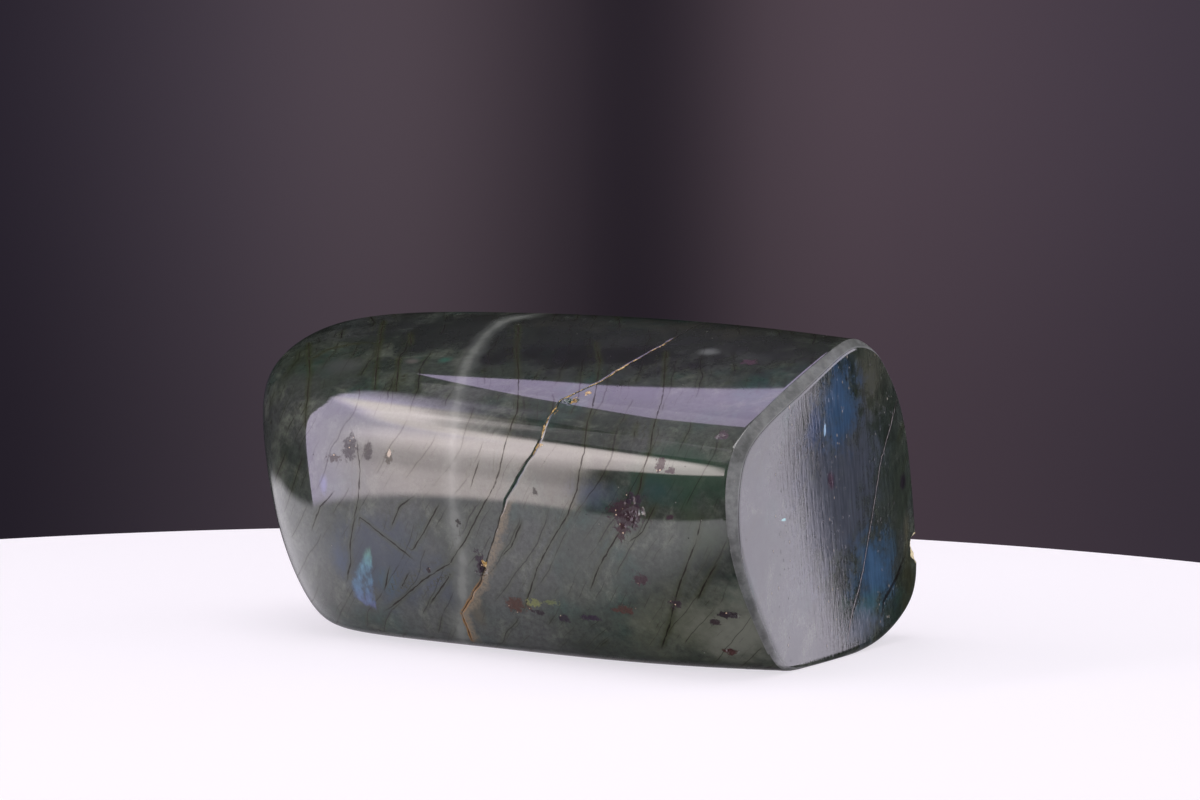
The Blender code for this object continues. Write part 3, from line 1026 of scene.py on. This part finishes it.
def polishedStoneMaterial():
    material, tree, shader, place = startMaterial("polishedStone")
    inside = useGroup(tree, stoneDepths, Place=place)
    broadRag = wander(tree, place, 5.0, 5, 0.65, (1, 9, 4), 1.5)
    fineRag = wander(tree, place, 0.75, 4, 0.7, (7, 2, 2), 3.4)
    quiver = minus(tree, cloud(tree, place, 1.1, 3, 0.6, (3, 3, 9)), 0.5)
    base = addZones(tree, place, inside["Colour"], zones, broadRag)
    base = tinted(tree, base, stoneColours["line"], inside["Lines"], 0.6)
    base = addVein(tree, place, base)
    base = addFlash(tree, place, base, quiver)
    base, hairline = addHairlines(tree, place, base, quiver)
    base, dark = addInclusions(tree, place, base, fineRag)
    base, gold, edge = addCrack(tree, place, base, quiver, fineRag)

    # painted glints in the grains, and pits all over, thickest on the right shoulder: pale specks that are
    # painted glints, and dark specks of painted shade
    glints = useGroup(tree, specks, Place=place, Spacing=0.55, Size=0.13, Share=0.22)["Mask"]
    base = tinted(tree, base, crackColours["glint"], glints, dark, 0.8)
    crowd = rise(tree, vectorCalc(tree, "DOT_PRODUCT", place, (1, 0, 0)), -15, 35, 0.05, 0.18)
    pitSpecks = useGroup(tree, specks, Place=place, Spacing=1.0, Size=0.11, Share=crowd)
    # the pale specks: painted glints of the pits
    paintedSpeckGlint = product(tree, pitSpecks["Mask"], rise(tree, pitSpecks["Draw"], 0.3, 0.4))
    base = tinted(tree, base, stoneColours["paintedSpeckGlint"], paintedSpeckGlint, 0.75)
    # the dark specks: painted shade in the pits
    paintedPitShade = product(tree, pitSpecks["Mask"], rise(tree, pitSpecks["Draw"], 0.4, 0.3))
    base = tinted(tree, base, stoneColours["line"], paintedPitShade, 0.8)
    feed(tree, shader.inputs["Base Color"], base)

    # the polish is a clear skin that is missing in the pits, along the lines and where it was scratched
    drawn = cloud(tree, vectorCalc(tree, "MULTIPLY", place, (0.45, 1.0, 2.4)), 2.6, 2, 0.4, (5, 1, 1))
    scratch = rise(tree, calc(tree, "ABSOLUTE", minus(tree, drawn, 0.5)), 0.006, 0.001)
    worn = cloud(tree, place, 4.0, 4, 0.6, (2, 6, 2))
    missing = product(tree, scratch, rise(tree, worn, 0.5, 0.65, 0.0, 0.22))
    gaps = (
        (hairline, 0.75), (inside["Lines"], 0.35), (dark, 0.6), (edge, 0.85), (gold, 0.6),
        (pitSpecks["Mask"], 0.85),
    )
    for mask, share in gaps:
        missing = calc(tree, "MAXIMUM", missing, product(tree, mask, share))
    feed(tree, shader.inputs["Coat Weight"], calc(tree, "SUBTRACT", 1.0, missing, clamp=True))
    shader.inputs["Coat Roughness"].default_value = 0.032
    shader.inputs["Coat IOR"].default_value = stoneIndex
    shader.inputs["Specular IOR Level"].default_value = 0.1
    feed(tree, shader.inputs["Roughness"], rise(tree, worn, 0.35, 0.65, 0.35, 0.5))

    height = total(
        tree, product(tree, hairline, -0.35), product(tree, pitSpecks["Mask"], -0.5),
        product(tree, dark, rise(tree, fineRag, -0.6, 0.6, -0.8, 0.1)), product(tree, gold, 0.8),
    )
    bumped(tree, shader, height, 0.05)
    return material


# Patches behind the sawn end, as middles and half-sizes, colour, strength and where the edge starts.
# A separate program worked out the places of darkSpot and of the glints below.
endPatches = {
    "green": ((44, 15, 20), (3, 15, 26), colour(0.024, 0.034, 0.028), 0.7, 0.2),
    "olivePeak": ((44, 12, 38), (3, 7, 8), colour(0.060, 0.062, 0.046), 0.75, 0.1),
    # the blue and teal patches from blueMiddle to blueFoot are the stone's blue flash, a painted sheen
    "blueMiddle": ((44, 2.0, 23.0), (3, 17.0, 18.0), colour(0.046, 0.054, 0.070), 0.9, 0.3),
    "deepBlue": ((44, 2.0, 34.6), (3, 7.8, 8.6), colour(0.026, 0.060, 0.112), 0.95, 0.2),
    "blueLeg": ((44, -4.4, 32.0), (3, 3.8, 4.6), colour(0.024, 0.044, 0.092), 0.85, 0.0),
    "blueLow": ((44, 12.8, 11.0), (3, 9.0, 8.4), colour(0.034, 0.078, 0.140), 0.95, 0.15),
    "tealLow": ((44, 12.0, 6.4), (3, 7.0, 2.8), colour(0.034, 0.088, 0.105), 0.85, 0.0),
    "blueFoot": ((44, 9.5, 3.6), (3, 8.0, 3.6), colour(0.082, 0.100, 0.130), 0.8, 0.0),
    "darkRight": ((44, 20.5, 22.0), (3, 4.0, 13.0), colour(0.022, 0.030, 0.020), 0.8, 0.1),
    "oliveEdge": ((44, 23.5, 8.0), (3, 3.5, 8.0), colour(0.026, 0.029, 0.014), 0.85, 0.2),
    "paleRim": ((44, 22.5, 15.5), (3, 1.4, 4.5), colour(0.085, 0.078, 0.045), 0.6, 0.0),
    "darkSpot": ((44, 21.4, 22.7), (3, 1.2, 1.6), colour(0.010, 0.006, 0.012), 0.8, 0.3),
    "redSpot": ((44, 0.4, 24.6), (3, 1.4, 1.7), colour(0.045, 0.020, 0.034), 0.85, 0.2),
}
endGlints = {
    "blue": ((44, -1.5, 31.6), (3, 0.35, 1.2), colour(0.30, 0.46, 0.62), 0.9, 0.5),
    "cyan": ((44, -12.6, 20.6), (3, 0.7, 0.22), colour(0.25, 0.55, 0.55), 0.9, 0.5),
    "dash": ((44, -14.7, 16.9), (3, 0.3, 0.9), colour(0.020, 0.018, 0.014), 0.9, 0.5),
}

endColours = {
    "litDash": colour(0.24, 0.20, 0.14),
    "split": colour(0.16, 0.13, 0.12),
    "strip": colour(0.125, 0.130, 0.126),
    # a painted highlight along the bevel's inner edge
    "innerEdgeHighlight": colour(0.26, 0.26, 0.27),
}


def sawnStoneMaterial():
    material, tree, shader, place = startMaterial("sawnStone")
    inside = useGroup(tree, stoneDepths, Place=place)
    broadRag = wander(tree, place, 3.4, 6, 0.75, (1, 9, 4), 2.0)
    fineRag = wander(tree, place, 0.6, 3, 0.7, (7, 2, 2), 1.6)
    base = addZones(tree, place, inside["Colour"], endPatches, broadRag)
    base = addZones(tree, place, base, endGlints, fineRag)

    # the saw's streaks run up the end, leaning a little
    streaky = put(tree, "ShaderNodeMapping")
    feed(tree, streaky.inputs["Vector"], place)
    streaky.inputs["Rotation"].default_value = (math.radians(-9), 0, 0)
    stretched = vectorCalc(tree, "MULTIPLY", streaky.outputs[0], (1.0, 1.0, 0.11))
    streaks = cloud(tree, stretched, 0.55, 4, 0.65, (2, 2, 2))
    lessStretched = vectorCalc(tree, "MULTIPLY", streaky.outputs[0], (1.0, 1.0, 0.3))
    fine = cloud(tree, lessStretched, 0.3, 3, 0.6, (5, 2, 2))
    base = shaded(tree, base, rise(tree, streaks, 0.3, 0.7, 0.78, 1.22))
    short = vectorCalc(tree, "MULTIPLY", streaky.outputs[0], (1.0, 1.0, 0.45))
    dashes = useGroup(tree, specks, Place=short, Spacing=0.62, Size=0.11, Share=0.5)
    lit = product(tree, dashes["Mask"], rise(tree, dashes["Draw"], 0.55, 0.65))
    base = tinted(tree, base, endColours["litDash"], lit, 0.75)
    unlit = product(tree, dashes["Mask"], rise(tree, dashes["Draw"], 0.55, 0.45))
    base = tinted(tree, base, stoneColours["line"], unlit, 0.7)

    quiver = wander(tree, place, 1.1, 3, 0.6, (3, 3, 9), 0.5)
    seam = calc(tree, "ABSOLUTE", total(tree, attribute(tree, "endSeamGap"), quiver))
    seamLine = product(tree, rise(tree, seam, 0.42, 0.12), attribute(tree, "endSeamShare"))
    base = tinted(tree, base, stoneColours["line"], seamLine, 0.8)
    split = calc(tree, "ABSOLUTE", total(tree, attribute(tree, "endCrackGap"), quiver))
    splitLine = product(tree, rise(tree, split, 0.11, 0.03), attribute(tree, "endCrackShare"))
    splitShade = product(tree, rise(tree, split, 0.6, 0.1), attribute(tree, "endCrackShare"))
    base = tinted(tree, base, stoneColours["line"], splitShade, 0.5)
    base = tinted(tree, base, endColours["split"], splitLine, rise(tree, fine, 0.40, 0.55, 0.2, 0.8))

    # the bevelled strip round the end is paler, with a painted highlight along its inner edge
    out = tuple(turned[:, 0])
    flatAt = sawnEnd["distance"] + float(heart @ turned[:, 0])
    depth = minus(tree, flatAt, vectorCalc(tree, "DOT_PRODUCT", place, out))
    strip = rise(tree, depth, 0.05, 0.12)
    stripGrain = rise(tree, cloud(tree, place, 1.4, 5, 0.7, (4, 4, 1)), 0.3, 0.7, 0.6, 1.4)
    base = tinted(tree, base, shaded(tree, endColours["strip"], stripGrain), strip, 0.75)
    # the painted highlight along the inner edge shows only on the upper part of the end
    upward = rise(tree, heightOf(tree, place), 12, 26)
    innerEdgeHighlight = product(tree, rise(tree, depth, 0.02, 0.05), rise(tree, depth, 0.17, 0.10), upward)
    base = tinted(tree, base, endColours["innerEdgeHighlight"], innerEdgeHighlight, 0.6)
    feed(tree, shader.inputs["Base Color"], base)

    satin = rise(tree, streaks, 0.35, 0.7, 0.015, 0.04)
    feed(tree, shader.inputs["Roughness"], total(tree, satin, product(tree, strip, 0.3)))
    shader.inputs["IOR"].default_value = stoneIndex
    height = total(
        tree, streaks, product(tree, fine, 0.35), product(tree, dashes["Mask"], -0.8),
        product(tree, splitLine, -0.8),
    )
    bumped(tree, shader, height, 0.0018)
    return material


broken = {
    "pale": colour(0.66, 0.56, 0.28),
    "cream": colour(0.74, 0.68, 0.50),
    "olive": colour(0.16, 0.15, 0.05),
    "facets": 0.55,  # the breadth of its facets
}


def brokenStoneMaterial():
    material, tree, shader, place = startMaterial("brokenStone")
    facets = put(tree, "ShaderNodeTexVoronoi")
    feed(tree, facets.inputs["Vector"], place)
    facets.inputs["Scale"].default_value = 1 / broken["facets"]
    draws = put(tree, "ShaderNodeSeparateColor")
    feed(tree, draws.inputs[0], facets.outputs["Color"])
    base = blend(tree, draws.outputs[0], broken["pale"], broken["cream"])
    deepShare = rise(tree, cloud(tree, place, 1.6, 4, 0.65), 0.50, 0.62)
    base = tinted(tree, base, broken["olive"], deepShare, 0.85)
    feed(tree, shader.inputs["Base Color"], base)
    feed(tree, shader.inputs["Roughness"], rise(tree, draws.outputs[1], 0, 1, 0.3, 0.65))
    shader.inputs["IOR"].default_value = stoneIndex
    bumped(tree, shader, total(tree, facets.outputs["Distance"], cloud(tree, place, 0.3, 4, 0.7)), 0.12)
    return material


polishedStone = polishedStoneMaterial()
sawnStone = sawnStoneMaterial()
brokenStone = brokenStoneMaterial()
print("materials made")


def makeStone():
    selectNothing()
    bpy.ops.mesh.primitive_cube_add(size=2)
    stone = bpy.context.object
    stone.name = "polishedLabradorite"
    stone.data.name = stone.name
    for material in (polishedStone, sawnStone, brokenStone):
        stone.data.materials.append(material)
    sliceBlock()
    for reaches in finerCuts:
        cutFiner(stone, *reaches)
    block = readPlaces(stone)
    print("block sliced:", len(block), "corners")
    places = shapeBlock(block)
    places = sinkPits(sinkCrack(places))
    writePlaces(stone, places)
    breakChip(stone)
    softenSharpEdges(stone)
    return stone


def giveFinishes(stone):
    normals = np.empty(len(stone.data.polygons) * 3)
    stone.data.polygons.foreach_get("normal", normals)
    middles = np.empty(len(stone.data.polygons) * 3)
    stone.data.polygons.foreach_get("center", middles)
    normals = normals.reshape(-1, 3) @ turned
    local = fromStone(middles.reshape(-1, 3))
    slots = np.empty(len(stone.data.polygons), int)
    stone.data.polygons.foreach_get("material_index", slots)
    atEnd = local[:, 0] > sawnEnd["distance"] - sawnEnd["marksDepth"]
    flat = atEnd & (normals[:, 0] > sawnEnd["leastLean"])
    chipped = slots == finish["broken"]
    slots = np.where(chipped, finish["broken"], np.where(flat, finish["sawn"], finish["polished"]))
    stone.data.polygons.foreach_set("material_index", slots)


stone = makeStone()
giveFinishes(stone)
keepMarks(stone)
writePlaces(stone, readPlaces(stone) * mm)
makeActive(stone)
bpy.ops.object.shade_smooth_by_angle(angle=math.radians(sharpEdges["smoothAngle"]))
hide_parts("labradorite")
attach(stone, "root")
print("stone shaped:", len(stone.data.polygons), "faces")


floorDisc = {"middle": (11, -55), "radius": 183, "thickness": 6, "gap": 0.05, "edge": 1.2}


def makeFloor():
    selectNothing()
    x, y = floorDisc["middle"]
    top = -floorDisc["gap"]
    bpy.ops.mesh.primitive_cylinder_add(
        vertices=256, radius=floorDisc["radius"] * mm, depth=floorDisc["thickness"] * mm,
        location=(x * mm, y * mm, (top - floorDisc["thickness"] / 2) * mm),
    )
    disc = bpy.context.object
    disc.name = "paleFloor"
    bpy.ops.object.transform_apply(location=True)
    soft = disc.modifiers.new("edge", "BEVEL")
    soft.width = floorDisc["edge"] * mm
    soft.segments = 3
    soft.limit_method = "ANGLE"
    applyModifiers(disc)
    bpy.ops.object.shade_smooth_by_angle(angle=math.radians(40))
    material = bpy.data.materials.new("paleFloor")
    material.use_nodes = True
    shader = material.node_tree.nodes["Principled BSDF"]
    shader.inputs["Base Color"].default_value = colour(0.27, 0.255, 0.27)
    shader.inputs["Roughness"].default_value = 0.6
    shader.inputs["Emission Color"].default_value = colour(1.0, 0.965, 1.03)
    shader.inputs["Emission Strength"].default_value = 0.66  # keeps the shadows pale
    disc.data.materials.append(material)
    disc.visible_glossy = False  # its reflection is part of the surroundings
    return disc


# Soft boxes: the turn and tilt of the way from the stone to the middle of each end, its length in mm,
# the breadth in mm, the glow, the tint and whether the polish shows it.
lamps = {
    "overhead": (((-120, 70), (60, 76)), 700, 420, 5.0, (1.0, 0.97, 1.0), True),
    "ceilingFront": (((-130, 40), (-130, 63)), 700, 420, 0.5, (1.05, 0.98, 1.1), True),
    "ceilingTop": (((-165, 59), (10, 80)), 700, 900, 0.3, (1.05, 0.98, 1.1), True),
    "backHigh": (((127.5, 44.5), (127.5, 56.5)), 740, 225, 1.35, (1.15, 0.95, 1.45), True),
    "endHigh": (((45, 45), (45, 57)), 700, 280, 1.6, (1.03, 0.98, 1.06), True),
    "fillRight": (((-25, 38), (75, 38)), 500, 300, 1.1, (1.0, 0.97, 1.0), False),
    "fillFront": (((205, 42), (290, 42)), 500, 300, 0.8, (1.0, 0.97, 1.0), False),
}


def makeLamps():
    for name, (ends, reach, breadth, glow, tint, shows) in lamps.items():
        first, last = (Vector(direction(turn, tilt)) * reach for turn, tilt in ends)
        middle = (first + last) / 2
        along = (last - first).normalized()
        back = (middle - along * middle.dot(along)).normalized()
        lamp = bpy.data.lights.new(name, "AREA")
        lamp.shape = "RECTANGLE"
        lamp.size = (last - first).length * mm
        lamp.size_y = breadth * mm
        lamp.energy = glow * math.pi * lamp.size * lamp.size_y
        lamp.color = tint
        holder = bpy.data.objects.new(name, lamp)
        holder.location = (Vector(stoneForm["heart"]) + middle) * mm
        holder.rotation_euler = Matrix((along, back.cross(along), back)).transposed().to_euler()
        bpy.context.scene.collection.objects.link(holder)
        holder.visible_camera = False
        holder.visible_glossy = shows


# A separate program fitted the place and the angles of the camera.
camera = {"place": (239.99, -402.32, 73.09), "tilt": 4.812, "turn": 29.931, "lens": 100, "sensor": 36}


def makeCamera():
    lens = bpy.data.cameras.new("camera")
    lens.lens = camera["lens"]
    lens.sensor_width = camera["sensor"]
    holder = bpy.data.objects.new("camera", lens)
    bpy.context.scene.collection.objects.link(holder)
    holder.location = Vector(camera["place"]) * mm
    holder.rotation_euler = (math.radians(90 - camera["tilt"]), 0, math.radians(camera["turn"]))
    bpy.context.scene.camera = holder


# The dark backdrop: its tone at turns from the left of the view to the right, and how it dims
# downwards and above the view. The tones began as sampled colours, and most were changed between
# renders.
backdrop = {
    "turns": (109.7, 130.1),
    "tones": (
        (0.00, colour(0.046, 0.036, 0.052)), (0.25, colour(0.088, 0.062, 0.080)),
        (0.36, colour(0.074, 0.054, 0.068)), (0.44, colour(0.021, 0.016, 0.023)),
        (0.52, colour(0.021, 0.016, 0.023)), (0.66, colour(0.094, 0.070, 0.086)),
        (0.82, colour(0.056, 0.044, 0.060)), (1.00, colour(0.018, 0.014, 0.023)),
    ),
    "below": (-0.12, 0.03, 0.72, 1.0),
    "above": (0.05, 0.15, 1.0, 0.12),
}

# The large soft box on the left, by turn in degrees: the tilt of its lower and upper edge, and its glow.
# These numbers, and those of endBox and floorGlow, began as another program's results. Most were
# changed between renders, and some are still its results.
sideBox = {
    "lower": (
        (150, 51.3), (159, 51.5), (169, 51.8), (180, 49.8), (190, 46.3), (197, 42.5), (202, 37.5),
        (206, 30), (208, 20), (209.3, 8), (210, -30), (240, -30),
    ),
    "upper": (
        (150, 54), (160, 55.5), (170, 56), (180, 55.8), (190, 54.8), (200, 52.5), (206, 50), (210, 47),
        (214, 43.5), (218, 39.5), (222, 35.8), (225, 34.5), (227.5, 32.5), (229.5, 29.5), (231, 26),
        (233, 21), (240, 8),
    ),
    "glow": (
        (150, 0.5), (165, 1.2), (178, 2.6), (190, 3.8), (200, 3.8), (209, 3.9), (214, 4.2), (218, 4.5),
        (221, 4.9), (223, 5.5), (226, 6.3), (228.5, 6.2), (229.5, 5.2), (231, 4.0), (240, 3.0),
    ),
    "ridge": (
        (150, 0.0), (180, 1.4), (192, 3.2), (205, 4.0), (214, 3.0), (222, 2.0), (227, 0.6), (240, 0.0),
    ),
    "ridgeDepths": (0.5, 2.5, 4.5, 9.0),  # degrees below the upper edge
    "byTilt": (
        (-12, 0.75), (-5, 0.85), (-2, 0.85), (1, 0.66), (6, 0.72), (10, 0.95), (17, 1.30), (26, 1.25),
        (34, 1.0), (60, 1.0),
    ),
    "right": (  # the turn of the right edge by tilt
        (-12, 229.6), (-4, 230.3), (1, 230.6), (6, 230.65), (11, 230.55), (13.5, 231.0), (15.6, 231.5),
        (18, 231.9), (20.5, 232.3), (35, 234.2),
    ),
    "softness": (0.7, 1.5, 0.35),  # of the lower, the upper and the right edge
    "start": (150, 165),  # the turns over which it comes in on the left
    "byTiltFrom": (219, 224),
    "tints": (
        (209, colour(1.06, 0.93, 1.26)), (219, colour(1.06, 0.96, 1.16)), (226, colour(1.13, 0.99, 0.99)),
        (236, colour(1.13, 1.0, 0.98)),
    ),
    "warm": (8.5, 4.0, colour(1.13, 1.0, 0.98)),  # the depths between which the tint of the ridge comes in
}

# The box behind the sawn end: the turn of its right edge by tilt, where it fades in, and its glow.
endBox = {
    "edge": (
        (-9, 59.4), (-8.4, 59.2), (-7.9, 59.0), (-7.4, 58.85), (-7, 58.75), (-6.6, 58.65), (-6.2, 58.55),
        (-5.6, 58.5), (-5.2, 58.55), (-4.8, 58.65), (-4.4, 58.6), (-4, 58.6),
    ),
    "softness": 0.05,
    "turns": (15, 25),
    "tilts": (25, 15),
    "glow": 2.55,
    "tint": (1.05, 0.98, 1.15),
}

# A weak broad glow in front of the sawn end, that the bevelled strip catches.
frontBox = {
    "turns": (292, 312, 340, 352),
    "tilts": (-30, -15, 25, 40),
    "glow": 2.0,
    "tint": (1.0, 0.98, 1.05),
}

# The floor as it shows in the polish: where its far edge lies, and its glow by turn and by tilt.
floorGlow = {
    "horizon": (
        (135, -12), (150, -8.8), (181, -9.1), (199, -10.3), (208, -10.6), (216, -9.6), (221.6, -8.7),
        (226.6, -7.1), (229, -6.6), (231, -8.5), (234, -11.5), (238, -15), (260, -15),
    ),
    "byTurn": (
        (70, 0.15), (125, 0.2), (145, 0.5), (162, 1.6), (175, 2.1), (200, 2.5), (211, 2.0), (217, 1.45),
        (222, 1.4), (230, 1.4), (234, 1.7), (245, 1.6), (300, 0.4),
    ),
    "byTilt": ((-90, 0.0), (-62, 0.05), (-45, 0.25), (-30, 0.7), (-18, 1.0), (-10, 1.0)),
    "softness": 0.9,
    "tint": (1.0, 0.96, 1.04),
}


def curveOf(tree, value, points):  # straight from point to point, level beyond the ends
    first, last = points[0][0], points[-1][0]
    low = min(height for _, height in points)
    high = max(height for _, height in points)
    node = put(tree, "ShaderNodeFloatCurve")
    feed(tree, node.inputs["Value"], portion(tree, value, first, last))
    curve = node.mapping.curves[0]
    for _ in points[2:]:
        curve.points.new(0.5, 0.5)
    for point, (place, height) in zip(curve.points, points):
        point.location = ((place - first) / (last - first), (height - low) / (high - low))
        point.handle_type = "VECTOR"
    node.mapping.update()
    return total(tree, product(tree, node.outputs[0], high - low), low)


def makeSideBox(tree, turn, tilt):
    softLower, softUpper, softRight = sideBox["softness"]
    depth = minus(tree, curveOf(tree, turn, sideBox["upper"]), tilt)
    toRight = minus(tree, curveOf(tree, tilt, sideBox["right"]), turn)
    mask = product(
        tree, rise(tree, minus(tree, tilt, curveOf(tree, turn, sideBox["lower"])), -softLower, softLower),
        rise(tree, depth, -softUpper, softUpper), rise(tree, toRight, -softRight, softRight),
        rise(tree, turn, *sideBox["start"]),
    )
    start, full, fade, gone = sideBox["ridgeDepths"]
    ridge = product(tree, rise(tree, depth, start, full), rise(tree, depth, gone, fade))
    ridge = product(tree, ridge, curveOf(tree, turn, sideBox["ridge"]))
    byTilt = greyColour(tree, curveOf(tree, tilt, sideBox["byTilt"]))
    byTilt = blend(tree, rise(tree, turn, *sideBox["byTiltFrom"]), (1, 1, 1, 1), byTilt)
    glow = product(tree, mask, total(tree, curveOf(tree, turn, sideBox["glow"]), ridge))
    low, high = sideBox["tints"][0][0], sideBox["tints"][-1][0]
    tints = rampOf(tree, portion(tree, turn, low, high), sideBox["tints"])
    far, near, warm = sideBox["warm"]
    warmth = product(tree, rise(tree, depth, far, near), rise(tree, turn, 176, 190))
    tint = blend(tree, warmth, tints.outputs[0], warm)
    return scaled(tree, vectorCalc(tree, "MULTIPLY", tint, byTilt), glow)


def makeEndBox(tree, turn, tilt):
    toEdge = minus(tree, curveOf(tree, tilt, endBox["edge"]), turn)
    mask = rise(tree, toEdge, -endBox["softness"], endBox["softness"])
    mask = product(tree, mask, rise(tree, turn, *endBox["turns"]), rise(tree, tilt, *endBox["tilts"]))
    return scaled(tree, endBox["tint"], product(tree, mask, endBox["glow"]))


def makeFrontBox(tree, turn, tilt):
    left, fullLeft, fullRight, right = frontBox["turns"]
    low, fullLow, fullHigh, high = frontBox["tilts"]
    mask = product(tree, rise(tree, turn, left, fullLeft), rise(tree, turn, right, fullRight))
    mask = product(tree, mask, rise(tree, tilt, low, fullLow), rise(tree, tilt, high, fullHigh))
    return scaled(tree, frontBox["tint"], product(tree, mask, frontBox["glow"]))


def makeFloorGlow(tree, turn, tilt):
    below = minus(tree, curveOf(tree, turn, floorGlow["horizon"]), tilt)
    mask = rise(tree, below, -floorGlow["softness"], floorGlow["softness"])
    glow = product(tree, mask, curveOf(tree, turn, floorGlow["byTurn"]))
    glow = product(tree, glow, curveOf(tree, tilt, floorGlow["byTilt"]))
    return scaled(tree, floorGlow["tint"], glow), minus(tree, 1.0, mask)


def makeSurroundings():
    world = bpy.data.worlds.new("studio")
    world.use_nodes = True
    tree = world.node_tree
    way = put(tree, "ShaderNodeSeparateXYZ")
    feed(tree, way.inputs[0], put(tree, "ShaderNodeTexCoord").outputs["Generated"])
    turn = calc(tree, "ARCTAN2", way.outputs[1], way.outputs[0])
    turn = calc(tree, "MODULO", total(tree, product(tree, turn, 180 / math.pi), 360), 360)
    tilt = product(tree, calc(tree, "ARCSINE", way.outputs[2]), 180 / math.pi)
    tones = rampOf(tree, portion(tree, turn, *backdrop["turns"]), backdrop["tones"])
    tones.color_ramp.interpolation = "B_SPLINE"
    strength = product(tree, *(rise(tree, way.outputs[2], *backdrop[part]) for part in ("below", "above")))
    glow, above = makeFloorGlow(tree, turn, tilt)
    glow = vectorCalc(tree, "ADD", glow, scaled(tree, makeSideBox(tree, turn, tilt), above))
    for makeBox in (makeEndBox, makeFrontBox):
        glow = vectorCalc(tree, "ADD", glow, makeBox(tree, turn, tilt))
    hidden = minus(tree, 1.0, put(tree, "ShaderNodeLightPath").outputs["Is Camera Ray"])
    glow = vectorCalc(tree, "ADD", scaled(tree, glow, hidden), scaled(tree, tones.outputs[0], strength))
    feed(tree, tree.nodes["Background"].inputs["Color"], glow)
    bpy.context.scene.world = world


makeFloor()
makeLamps()
makeCamera()
makeSurroundings()
bpy.context.scene.view_settings.view_transform = "Standard"
print("floor, lamps and camera placed")
